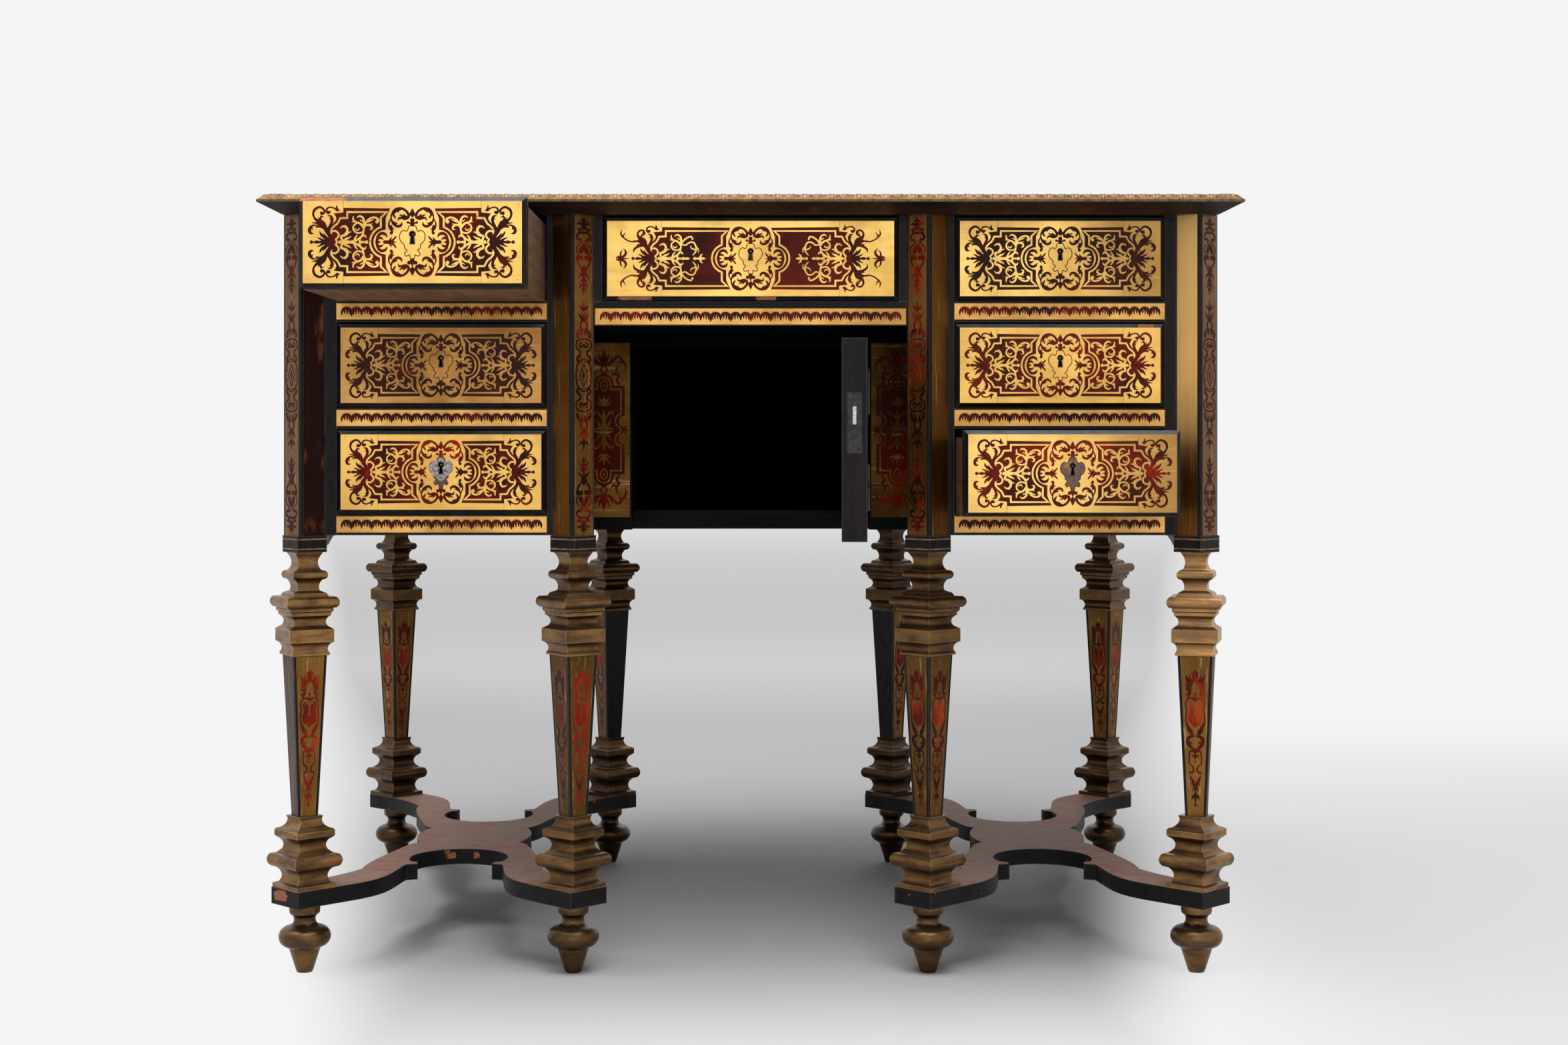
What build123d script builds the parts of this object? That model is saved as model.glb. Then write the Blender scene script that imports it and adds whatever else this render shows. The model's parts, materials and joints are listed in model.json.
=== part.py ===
from build123d import *
import math
import os

os.makedirs("parts", exist_ok=True)

# A kneehole writing desk of the Mazarin kind, in millimetres.  X runs across the
# front, the front faces -Y and Z is up.  The origin is on the floor, in the middle
# of everything the desk covers with one drawer left open.

# ------------------------------------------------------------------ driving sizes
# Overall
TOP_W = 990.0
TOP_D = 690.0
TOP_OVER_X = 40.0  # how far the top stands out past the rows of legs
TOP_OVER_Y = 45.0
LEG_X_IN = 181.0  # kneehole leg rows, from the middle

# The stack of one leg, floor to carcase
FOOT_H = 69.5
STRETCHER_T = 17.0
LOWER_CAPITAL_H = 73.0
SHAFT_H = 163.4
UPPER_CAPITAL_H = 105.0
COLLAR_H = 17.0
COLLAR_SIDE = 33.0
SHAFT_TOP_HALF = 17.6
SHAFT_FOOT_HALF = 10.5
PEG_R = 7.0  # dowel turned on each foot, up through the stretcher
PEG_IN_CAPITAL = 15.0
PEG_CLEAR = 0.2

# Carcase
POST_SIDE = 30.0  # corner posts are square and set cornerwise
POST_BEAD = 4.0  # ebony left bare along the foremost arris of a post
POST_EDGE = 1.6  # ebony left bare along its side arrises
POST_ROUND = 2.0
BOARD_T = 14.0
FRAME_T = 12.0  # front rails, stiles and back panels
OPENING_H = 87.4  # each pedestal drawer opening
RAIL_H = 21.3  # the rail under each opening
STILE_SHOW_IN = 5.8  # stile seen beside the kneehole posts
STILE_SHOW_OUT = 11.4  # stile seen beside the outer posts
STILE_SHOW_MID = 8.6  # stile seen beside the middle drawer
SIDE_INSET_IN = 7.0  # pedestal side faces, from the leg rows
SIDE_INSET_OUT = 5.0
FLOOR_T = 9.0
STRIP_MARGIN = 2.45  # rail left bare above and below its strip
STRIP_RISE = 0.4  # strips stand this much above the middle of their rail
FACING_T = 1.0  # brass and shell marquetry on drawers, rails and panels
POST_FACING_T = 0.8

# Top
TOP_BOARD_T = 10.0
SOFFIT_IN_X = 20.0  # how far the soffit bevel runs in under the lip
SOFFIT_IN_Y = 23.0
BORDER_H = 9.0
BORDER_W = 22.0
BORDER_LIP = 2.2
VENEER_T = 1.0

# Middle drawer, recess and cupboard
MID_RAIL_H = 24.7
RECESS = 139.0  # the cupboard stands this far behind the front
CEILING_T = 12.0
FLANK_T = 16.0
CUPBOARD_HALF = 128.4  # half the clear width between the flank panels
CUPBOARD_SIDE_T = 12.0
CUPBOARD_FLOOR_Z = 20.0  # cupboard floor above the carcase bottom
CUPBOARD_TOP_RAIL = 16.6
FLANK_FACING_LOW = 13.6
FLANK_FACING_TOP = 12.0
DOOR_T = 25.0
DOOR_W = 253.0
DOOR_DROP = 1.5  # the door hangs this far below the carcase bottom
DOOR_GAP = 0.8
DOOR_OPEN = 87.6  # degrees, as it stands
DOOR_MARGIN = 9.0  # ebony round the door's marquetry
HINGE_L = 50.0
HINGE_INSET = 22.0
BARREL_R = 2.6
PIN_R = 1.2
PIN_CLEAR = 0.05
LEAF_T = 0.6
LEAF_W = 15.0
LEAF_CLEAR = 0.1  # each leaf stays this far off the line of the pin
KNUCKLE_GAP = 0.3
LOCK_W = 13.0
LOCK_H = 58.0
LOCK_DEPTH = 45.0
LOCK_Z = 114.0  # middle of the door lock above the carcase bottom
BOLT_W = 4.0
BOLT_H = 18.0
BOLT_OUT = 0.8

# Drawers
DRAWER_BACK_GAP = 53.0  # behind a closed drawer
DRAWER_PROUD = 6.0  # drawer faces stand this far in front of the frame
FRONT_T = 20.0
FRONT_BEVEL = 4.0
FRONT_SIDE_GAP = 1.1
FRONT_LOW_GAP = 1.0
FRONT_TOP_GAP = 1.8
BOX_SIDE_T = 9.0
BOX_H = 78.0
BOX_FLOOR_T = 6.0
BOX_SIDE_GAP = 1.5
RUN_GAP = 0.3  # running gap between a drawer and its runners
RUNNER_W = 16.0
GUIDE_H = 30.0
GLUE = 0.1  # glue line between boards of one frame or box
KEYHOLE_R = 2.5
KEYHOLE_SLOT = 2.2
KEYHOLE_FOOT = 3.8  # width of the slot where it ends
KEYHOLE_DROP = 8.9
KEYHOLE_RISE = 7.5  # round part of a drawer's keyhole above the middle of its front
DRAWER_LOCK_W = 46.0
DRAWER_LOCK_H = 34.0
DRAWER_LOCK_T = 9.0
KEY_PIN_R = 0.9
KEY_PIN_BACK = 2.0  # the key pin ends this far behind the drawer's face
PULL_LEFT_TOP = 195.0  # how far two drawers have been left open
PULL_RIGHT_BOTTOM = 89.0

# Stretchers, from each pedestal's middle
PLATE_HALF = 34.0  # half diagonal of the square pad under each leg
BAY_R = 53.5  # the round bays front and back of the hub
BAY_APEX = 89.0
HUB_HALF_W = 65.0
EAR = 9.0  # pointed ears at the mouths of the bays
APRON_DROP = 12.0
APRON_T = 10.0

# How far each leg has turned in its sockets, in degrees: collar, upper part, lower part
LEG_TURNS = {
    (-1, -1, "out"): (-7.0, -15.5, -2.5),
    (-1, -1, "in"): (8.0, -8.5, 4.5),
    (1, -1, "in"): (0.0, -2.6, 0.0),
    (1, -1, "out"): (0.0, 29.0, 4.6),
    (-1, 1, "out"): (0.0, 0.0, 0.0),
    (-1, 1, "in"): (0.0, -9.0, 0.0),
    (1, 1, "in"): (0.0, 0.0, 0.0),
    (1, 1, "out"): (0.0, 6.5, 0.0),
}

# ------------------------------------------------------------------ worked-out places
LEG_X_OUT = TOP_W / 2 - TOP_OVER_X
LEG_Y = TOP_D / 2 - TOP_OVER_Y
CARCASE_H = 3 * (OPENING_H + RAIL_H)
Z_PLATE = FOOT_H
Z_LOWER = Z_PLATE + STRETCHER_T
Z_SHAFT = Z_LOWER + LOWER_CAPITAL_H
Z_UPPER = Z_SHAFT + SHAFT_H
Z_COLLAR = Z_UPPER + UPPER_CAPITAL_H
Z_CARCASE = Z_COLLAR + COLLAR_H
Z_SOFFIT = Z_CARCASE + CARCASE_H
Z_BORDER = Z_SOFFIT + TOP_BOARD_T
Z_TOP = Z_BORDER + BORDER_H

DESK_Y = (LEG_Y + DRAWER_PROUD + PULL_LEFT_TOP - TOP_D / 2) / 2
Y_FACE = DESK_Y - LEG_Y
Y_BACK = DESK_Y + LEG_Y
Y_INSIDE = Y_FACE + FRAME_T
Y_BACK_INSIDE = Y_BACK - FRAME_T

POST_HALF = POST_SIDE / math.sqrt(2)
OPEN_X0 = LEG_X_IN + POST_HALF + STILE_SHOW_IN
OPEN_X1 = LEG_X_OUT - POST_HALF - STILE_SHOW_OUT
OPEN_MID = (OPEN_X0 + OPEN_X1) / 2
OPEN_W = OPEN_X1 - OPEN_X0
SIDE_X_IN = LEG_X_IN + SIDE_INSET_IN
SIDE_X_OUT = LEG_X_OUT - SIDE_INSET_OUT
MID_OPEN_HALF = LEG_X_IN - POST_HALF - STILE_SHOW_MID
STRIP_H = RAIL_H - 2 * STRIP_MARGIN
LEVELS = [Z_CARCASE + RAIL_H + i * (RAIL_H + OPENING_H) for i in range(3)]
Z_MID_RAIL = LEVELS[2] - MID_RAIL_H
RUNNER_H = RAIL_H - FLOOR_T
FRONT_BACK = FRONT_T + FACING_T - DRAWER_PROUD  # back of a closed drawer front, behind the face
DRAWER_L = 2 * LEG_Y - FRAME_T - DRAWER_BACK_GAP - FRONT_BACK
LEGS = [
    (sx * (LEG_X_OUT if row == "out" else LEG_X_IN), DESK_Y + sy * LEG_Y, turns)
    for (sx, sy, row), turns in LEG_TURNS.items()
]

Y_RECESS = Y_FACE + RECESS
Y_FLANK_BACK = Y_RECESS + FLANK_T
HINGE_GAP = LEAF_T + LEAF_CLEAR
PIN_X = CUPBOARD_HALF - HINGE_GAP
PIN_BACK = BARREL_R + FACING_T + KNUCKLE_GAP  # the pin stands this far in front of the door
PIN_Y = Y_RECESS - PIN_BACK
Z_DOOR = Z_CARCASE - DOOR_DROP
DOOR_H = Z_MID_RAIL - CUPBOARD_TOP_RAIL - DOOR_GAP - Z_DOOR
HINGE_SPOTS = [Z_DOOR + HINGE_INSET + HINGE_L / 2, Z_DOOR + DOOR_H - HINGE_INSET - HINGE_L / 2]


def board(x0, x1, y0, y1, z0, z1, mode=Mode.ADD):
    """A plain board between two corners, given in any order along X."""
    with Locations(((x0 + x1) / 2, (y0 + y1) / 2, (z0 + z1) / 2)):
        Box(abs(x1 - x0), abs(y1 - y0), abs(z1 - z0), mode=mode)


def outline(start, *steps):
    """A moulding's line: a pair goes straight there, four numbers arc through a middle point."""
    here = start
    for step in steps:
        there = step[-2:]
        if len(step) == 2:
            Line(here, there)
        else:
            ThreePointArc(here, step[:2], there)
        here = there
    return here


def finish(made, name):
    """Labels a finished piece and writes it."""
    made.part.label = name
    export_step(made.part, f"parts/{name}.step")


def square_turning(steps, start):
    """A square moulding: one outline carried round four mitred faces, standing on z = 0."""
    with BuildPart() as turning:
        for plane, mode in ((Plane.XZ, Mode.ADD), (Plane.YZ, Mode.INTERSECT)):
            with BuildSketch(plane):
                with BuildLine():
                    end = outline(start, *steps)
                    Polyline(end, (0, end[1]), (0, start[1]), start)
                make_face()
                mirror(about=Plane.YZ)
            extrude(amount=COLLAR_SIDE + SHAFT_TOP_HALF, both=True, mode=mode)
    return turning.part


# ------------------------------------------------------------------ corner posts
def post_facing(x, y, angle):
    """One brass slip let into the face of a post that looks along angle, in degrees from +X."""
    with Locations(Location((x, y, Z_CARCASE + CARCASE_H / 2), (0, 0, angle))):
        side = 1 if abs(angle) < 90 else -1
        shift = side * (POST_BEAD - POST_EDGE) / 2
        with Locations((POST_SIDE / 2 - POST_FACING_T / 2, shift, 0)):
            Box(POST_FACING_T, POST_SIDE - POST_BEAD - POST_EDGE, CARCASE_H)


POSTS = [(x, y) for x, y, _ in LEGS]
FRONT_POSTS = [p for p in POSTS if p[1] < DESK_Y]
BACK_POSTS = [p for p in POSTS if p[1] > DESK_Y]

# The face of each front post that looks outwards, or into the kneehole, is marquetry.
with BuildPart() as marquetry_slips:
    for x, y in FRONT_POSTS:
        outward = (x > 0) == (abs(x) > (LEG_X_IN + LEG_X_OUT) / 2)
        post_facing(x, y, -45 if outward else -135)

# The face towards the drawers is plain brass, and so are the two that look at each end
# panel.  The far left post has lost its slip beside the drawers.
with BuildPart() as lost_slip:
    post_facing(-LEG_X_OUT, Y_FACE, -45)
with BuildPart() as plain_slips:
    for x, y in FRONT_POSTS:
        outer = abs(x) > (LEG_X_IN + LEG_X_OUT) / 2
        outward = (x > 0) == outer
        if not (outer and x < 0):
            post_facing(x, y, -135 if outward else -45)
        if outer:
            post_facing(x, y, 45 if x > 0 else 135)
            post_facing(x, Y_BACK, -45 if x > 0 else -135)

with BuildPart() as post_blocks:
    with Locations(*[(x, y, Z_CARCASE + CARCASE_H / 2) for x, y in POSTS]):
        Box(POST_SIDE, POST_SIDE, CARCASE_H, rotation=(0, 0, 45))

for posts, name in ((FRONT_POSTS, "front_posts"), (BACK_POSTS, "back_posts")):
    with BuildPart() as made:
        with Locations(*[(x, y, Z_CARCASE + CARCASE_H / 2) for x, y in posts]):
            Box(POST_SIDE, POST_SIDE, CARCASE_H, rotation=(0, 0, 45))
        add(marquetry_slips.part, mode=Mode.SUBTRACT)
        add(plain_slips.part, mode=Mode.SUBTRACT)
        add(lost_slip.part, mode=Mode.SUBTRACT)
        arrises = made.edges().filter_by(Axis.Z).group_by(Axis.Y)
        fillet(arrises[0] if posts is FRONT_POSTS else arrises[-1], radius=POST_ROUND)
    finish(made, name)
finish(marquetry_slips, "post_marquetry_slips")
finish(plain_slips, "post_brass_slips")

# ------------------------------------------------------------------ pedestals
with BuildPart() as pedestal_sides:
    for s in (-1, 1):
        for x0, x1 in ((SIDE_X_IN, SIDE_X_IN + BOARD_T), (SIDE_X_OUT - BOARD_T, SIDE_X_OUT)):
            board(s * x0, s * x1, Y_INSIDE, Y_BACK_INSIDE, Z_CARCASE, Z_SOFFIT)
    add(post_blocks.part, mode=Mode.SUBTRACT)
finish(pedestal_sides, "pedestal_sides")

with BuildPart() as pedestal_floors:
    for s in (-1, 1):
        board(s * (SIDE_X_IN + BOARD_T), s * (SIDE_X_OUT - BOARD_T), Y_INSIDE,
              Y_BACK_INSIDE, Z_CARCASE, Z_CARCASE + FLOOR_T)
finish(pedestal_floors, "pedestal_floors")

with BuildPart() as back_panels:
    board(-SIDE_X_IN + GLUE, SIDE_X_IN - GLUE, Y_BACK_INSIDE, Y_BACK, Z_CARCASE, Z_SOFFIT)
    for s in (-1, 1):
        board(s * SIDE_X_IN, s * SIDE_X_OUT, Y_BACK_INSIDE, Y_BACK, Z_CARCASE, Z_SOFFIT)
    add(post_blocks.part, mode=Mode.SUBTRACT)
finish(back_panels, "back_panels")

with BuildPart() as front_stiles:
    for s in (-1, 1):
        board(s * SIDE_X_IN, s * OPEN_X0, Y_FACE, Y_INSIDE, Z_CARCASE, Z_SOFFIT)
        board(s * OPEN_X1, s * SIDE_X_OUT, Y_FACE, Y_INSIDE, Z_CARCASE, Z_SOFFIT)
        board(s * MID_OPEN_HALF, s * LEG_X_IN, Y_FACE, Y_INSIDE, LEVELS[2], Z_SOFFIT)
    add(post_blocks.part, mode=Mode.SUBTRACT)
finish(front_stiles, "front_stiles")

with BuildPart() as front_rails:
    for z in LEVELS:
        for s in (-1, 1):
            board(s * OPEN_X0, s * OPEN_X1, Y_FACE, Y_INSIDE, z - RAIL_H, z)
    board(-LEG_X_IN, LEG_X_IN, Y_FACE, Y_INSIDE, Z_MID_RAIL, LEVELS[2])
    add(post_blocks.part, mode=Mode.SUBTRACT)
finish(front_rails, "front_rails")

with BuildPart() as rail_strips:
    for z in LEVELS:
        middle = z - RAIL_H / 2 + STRIP_RISE
        for s in (-1, 1):
            board(s * OPEN_X0, s * OPEN_X1, Y_FACE - FACING_T, Y_FACE,
                  middle - STRIP_H / 2, middle + STRIP_H / 2)
    mid_half = LEG_X_IN - POST_HALF - FACING_T - RUN_GAP
    board(-mid_half, mid_half, Y_FACE - FACING_T, Y_FACE,
          Z_MID_RAIL + FACING_T, Z_MID_RAIL + FACING_T + STRIP_H)
finish(rail_strips, "rail_strips")

# Runners carry the drawers, and the guides above them keep the drawers straight.
with BuildPart() as drawer_runners:
    inner, outer = SIDE_X_IN + BOARD_T, SIDE_X_OUT - BOARD_T
    for z in LEVELS:
        for s in (-1, 1):
            board(s * inner, s * (OPEN_X0 + RUNNER_W), Y_INSIDE, Y_BACK_INSIDE, z - RUNNER_H, z)
            board(s * inner, s * OPEN_X0, Y_INSIDE, Y_BACK_INSIDE, z, z + GUIDE_H)
            board(s * outer, s * (OPEN_X1 - RUNNER_W), Y_INSIDE, Y_BACK_INSIDE, z - RUNNER_H, z)
            board(s * outer, s * OPEN_X1, Y_INSIDE, Y_BACK_INSIDE, z, z + GUIDE_H)
    for s in (-1, 1):
        board(s * (MID_OPEN_HALF - RUNNER_W), s * (MID_OPEN_HALF + BOX_SIDE_T), Y_INSIDE,
              Y_BACK_INSIDE, Z_MID_RAIL + CEILING_T, LEVELS[2])
        board(s * MID_OPEN_HALF, s * (MID_OPEN_HALF + BOX_SIDE_T), Y_INSIDE,
              Y_BACK_INSIDE, LEVELS[2], LEVELS[2] + GUIDE_H)
finish(drawer_runners, "drawer_runners")

with BuildPart() as end_facings:
    for s in (-1, 1):
        board(s * SIDE_X_OUT, s * (SIDE_X_OUT + FACING_T), Y_FACE + POST_SIDE, Y_BACK - POST_SIDE,
              Z_CARCASE + FLOOR_T, Z_SOFFIT - FLOOR_T)
finish(end_facings, "end_facings")

# A shaped skirt hangs under each end panel, deepest beside the legs.
with BuildPart() as side_aprons:
    half = LEG_Y - POST_SIDE
    for x in (-SIDE_X_OUT, SIDE_X_OUT - APRON_T):
        with BuildSketch(Plane(origin=(x, DESK_Y, Z_CARCASE), x_dir=(0, 1, 0), z_dir=(1, 0, 0))):
            with BuildLine():
                low, high = -APRON_DROP, -APRON_DROP / 3
                Polyline((0, 0), (half, 0), (half, low), (half - 2 * APRON_T, low))
                ThreePointArc((half - 2 * APRON_T, low), (half - 3.2 * APRON_T, 0.5 * (low + high)),
                              (half - 5 * APRON_T, high))
                Line((half - 5 * APRON_T, high), (5 * APRON_T, high))
                ThreePointArc((5 * APRON_T, high), (2 * APRON_T, 0.5 * (low + high)), (0, low))
                Line((0, low), (0, 0))
            make_face()
            mirror(about=Plane.YZ)
        extrude(amount=APRON_T)
finish(side_aprons, "side_aprons")

# ------------------------------------------------------------------ top
with BuildPart() as top_board:
    with BuildSketch(Plane((0, DESK_Y, Z_SOFFIT))):
        Rectangle(TOP_W - 2 * SOFFIT_IN_X, TOP_D - 2 * SOFFIT_IN_Y)
    with BuildSketch(Plane((0, DESK_Y, Z_BORDER))):
        Rectangle(TOP_W, TOP_D)
    loft()
finish(top_board, "top_board")

# Four mitred lengths of cast brass moulding ride on the board's edge.
with BuildPart() as top_border:
    for turn, run, depth in ((0, TOP_W, TOP_D), (90, TOP_D, TOP_W),
                             (180, TOP_W, TOP_D), (270, TOP_D, TOP_W)):
        with BuildPart(mode=Mode.PRIVATE) as length:
            with BuildSketch(Plane.YZ):
                edge = -depth / 2
                with BuildLine():
                    end = outline((edge, 0), (edge, BORDER_LIP), (edge + 1.2, BORDER_LIP + 0.6),
                                  (edge + 0.3 * BORDER_W, 0.78 * BORDER_H, edge + 0.72 * BORDER_W,
                                   BORDER_H - 0.9),
                                  (edge + 0.76 * BORDER_W, BORDER_H), (edge + BORDER_W, BORDER_H))
                    Polyline(end, (edge + BORDER_W, 0), (edge, 0))
                make_face()
            extrude(amount=run / 2, both=True)
            with BuildSketch():
                with BuildLine():
                    inset = BORDER_W + GLUE
                    Polyline((-run / 2 + GLUE, edge), (run / 2 - GLUE, edge),
                             (run / 2 - inset, edge + BORDER_W), (-run / 2 + inset, edge + BORDER_W),
                             close=True)
                make_face()
            extrude(amount=2 * BORDER_H, mode=Mode.INTERSECT)
        with Locations((0, DESK_Y, Z_BORDER)):
            add(length.part, rotation=(0, 0, turn))
finish(top_border, "top_border")

inner_w, inner_d = TOP_W / 2 - BORDER_W, TOP_D / 2 - BORDER_W
with BuildPart() as top_panel:
    board(-inner_w, inner_w, DESK_Y - inner_d, DESK_Y + inner_d, Z_BORDER, Z_TOP - VENEER_T)
finish(top_panel, "top_panel")

with BuildPart() as top_veneer:
    board(-inner_w, inner_w, DESK_Y - inner_d, DESK_Y + inner_d, Z_TOP - VENEER_T, Z_TOP)
finish(top_veneer, "top_veneer")

# ------------------------------------------------------------------ recess and cupboard
Z_CUP_FLOOR = Z_CARCASE + CUPBOARD_FLOOR_Z
Y_STOP_RAIL = Y_RECESS + DOOR_T + DOOR_GAP
CUP_OUT = CUPBOARD_HALF + CUPBOARD_SIDE_T

with BuildPart() as cupboard_case:
    board(-SIDE_X_IN, SIDE_X_IN, Y_INSIDE, Y_BACK_INSIDE, Z_MID_RAIL, Z_MID_RAIL + CEILING_T)
    board(-CUPBOARD_HALF + GLUE, CUPBOARD_HALF - GLUE, Y_STOP_RAIL + FRAME_T, Y_BACK_INSIDE,
          Z_CUP_FLOOR - CEILING_T, Z_CUP_FLOOR)
    for s in (-1, 1):
        board(s * CUPBOARD_HALF, s * CUP_OUT, Y_FLANK_BACK, Y_BACK_INSIDE,
              Z_CARCASE, Z_MID_RAIL - GLUE)
        board(s * (CUP_OUT + GLUE), s * SIDE_X_IN, Y_FLANK_BACK, Y_BACK_INSIDE,
              Z_CARCASE, Z_CARCASE + FLOOR_T)
    add(post_blocks.part, mode=Mode.SUBTRACT)
finish(cupboard_case, "cupboard_case")

with BuildPart() as cupboard_frame:
    for s in (-1, 1):
        board(s * CUPBOARD_HALF, s * SIDE_X_IN, Y_RECESS, Y_FLANK_BACK, Z_CARCASE, Z_MID_RAIL)
    board(-CUPBOARD_HALF + GLUE, CUPBOARD_HALF - GLUE, Y_RECESS, Y_FLANK_BACK,
          Z_MID_RAIL - CUPBOARD_TOP_RAIL, Z_MID_RAIL)
    board(-CUPBOARD_HALF + GLUE, CUPBOARD_HALF - GLUE, Y_STOP_RAIL, Y_STOP_RAIL + FRAME_T,
          Z_CARCASE, Z_CUP_FLOOR)
finish(cupboard_frame, "cupboard_frame")

with BuildPart() as flank_facings:
    for s in (-1, 1):
        board(s * (CUPBOARD_HALF + 2 * FACING_T), s * (SIDE_X_IN - FACING_T), Y_RECESS - FACING_T,
              Y_RECESS, Z_CARCASE + FLANK_FACING_LOW, Z_MID_RAIL - FLANK_FACING_TOP)
finish(flank_facings, "flank_facings")


def hinge_half(z, knuckles, x_in, x_out, y_pin, x_pin):
    """One leaf of a butt hinge with its knuckles and the necks that join them."""
    board(x_in, x_out, y_pin + PIN_BACK, y_pin + PIN_BACK + LEAF_W, z - HINGE_L / 2, z + HINGE_L / 2)
    for low, high in knuckles:
        board(x_in, x_out, y_pin, y_pin + PIN_BACK, z + low, z + high)
        with Locations((x_pin, y_pin, z + (low + high) / 2)):
            Cylinder(BARREL_R, high - low)


MID_KNUCKLE = HINGE_L / 5
with BuildPart() as hinge_leaves:
    for z in HINGE_SPOTS:
        hinge_half(z, ((-HINGE_L / 2, -MID_KNUCKLE - KNUCKLE_GAP),
                       (MID_KNUCKLE + KNUCKLE_GAP, HINGE_L / 2)),
                   PIN_X + LEAF_CLEAR, PIN_X + HINGE_GAP, PIN_Y, PIN_X)
        with Locations((PIN_X, PIN_Y, z)):
            Cylinder(PIN_R, HINGE_L)
finish(hinge_leaves, "hinge_leaves")

# The door is drawn closed in its own plane, whose origin is the hinge pin, and stands open.
swing = math.radians(DOOR_OPEN)
PIN = Plane(origin=(PIN_X, PIN_Y, 0), x_dir=(math.cos(swing), math.sin(swing), 0), z_dir=(0, 0, 1))
DOOR_X1 = -HINGE_GAP
DOOR_X0 = DOOR_X1 - DOOR_W
DOOR_Y0 = PIN_BACK
DOOR_Y1 = PIN_BACK + DOOR_T
Z_LOCK = Z_CARCASE + LOCK_Z
LOCK_Y = DOOR_Y0 + DOOR_T / 2
KEY_X = DOOR_X0 + LOCK_DEPTH / 2


def keyhole(plane, depth, mode=Mode.SUBTRACT):
    """A keyhole through a front, round above and slotted below, cut along the plane's normal."""
    with BuildSketch(plane) as hole:
        Circle(KEYHOLE_R)
        with BuildLine():
            Polyline((-KEYHOLE_SLOT / 2, 0), (KEYHOLE_SLOT / 2, 0), (KEYHOLE_FOOT / 2, -KEYHOLE_DROP),
                     (-KEYHOLE_FOOT / 2, -KEYHOLE_DROP), close=True)
        make_face()
    extrude(to_extrude=hole.sketch, amount=depth, mode=mode)


DOOR_KEY = Plane(origin=PIN.from_local_coords((KEY_X, DOOR_Y0, Z_LOCK)),
                 x_dir=PIN.x_dir, z_dir=PIN.y_dir * -1)

with BuildPart(PIN) as door_facing:
    board(DOOR_X0 + DOOR_MARGIN, DOOR_X1 - DOOR_MARGIN, DOOR_Y0, DOOR_Y0 + FACING_T,
          Z_DOOR + DOOR_MARGIN, Z_DOOR + DOOR_H - DOOR_MARGIN)
    keyhole(DOOR_KEY, -DOOR_T / 2)
with BuildPart(PIN) as door_panel:
    board(DOOR_X0, DOOR_X1, DOOR_Y0, DOOR_Y1, Z_DOOR, Z_DOOR + DOOR_H)
    board(DOOR_X0 + DOOR_MARGIN, DOOR_X1 - DOOR_MARGIN, DOOR_Y0, DOOR_Y0 + FACING_T,
          Z_DOOR + DOOR_MARGIN, Z_DOOR + DOOR_H - DOOR_MARGIN, mode=Mode.SUBTRACT)
    board(DOOR_X0, DOOR_X0 + LOCK_DEPTH, LOCK_Y - LOCK_W / 2, LOCK_Y + LOCK_W / 2,
          Z_LOCK - LOCK_H / 2, Z_LOCK + LOCK_H / 2, mode=Mode.SUBTRACT)
    keyhole(DOOR_KEY, -DOOR_T / 2)
with BuildPart(PIN) as door_lock:
    board(DOOR_X0, DOOR_X0 + LOCK_DEPTH, LOCK_Y - LOCK_W / 2, LOCK_Y + LOCK_W / 2,
          Z_LOCK - LOCK_H / 2, Z_LOCK + LOCK_H / 2)
    bolt_z = Z_LOCK + LOCK_H / 8
    board(DOOR_X0 - BOLT_OUT, DOOR_X0 + LOCK_DEPTH / 2, LOCK_Y - BOLT_W / 2, LOCK_Y + BOLT_W / 2,
          bolt_z - BOLT_H / 2, bolt_z + BOLT_H / 2)
with BuildPart(PIN) as door_wings:
    for z in HINGE_SPOTS:
        hinge_half(z, ((-MID_KNUCKLE, MID_KNUCKLE),), -HINGE_GAP, -LEAF_CLEAR, 0, 0)
        with Locations((0, 0, z)):
            Cylinder(PIN_R + PIN_CLEAR, HINGE_L, mode=Mode.SUBTRACT)
for made, name in ((door_facing, "door_facing"), (door_panel, "door_panel"),
                   (door_lock, "door_lock"), (door_wings, "door_hinge_wings")):
    finish(made, name)


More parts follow.
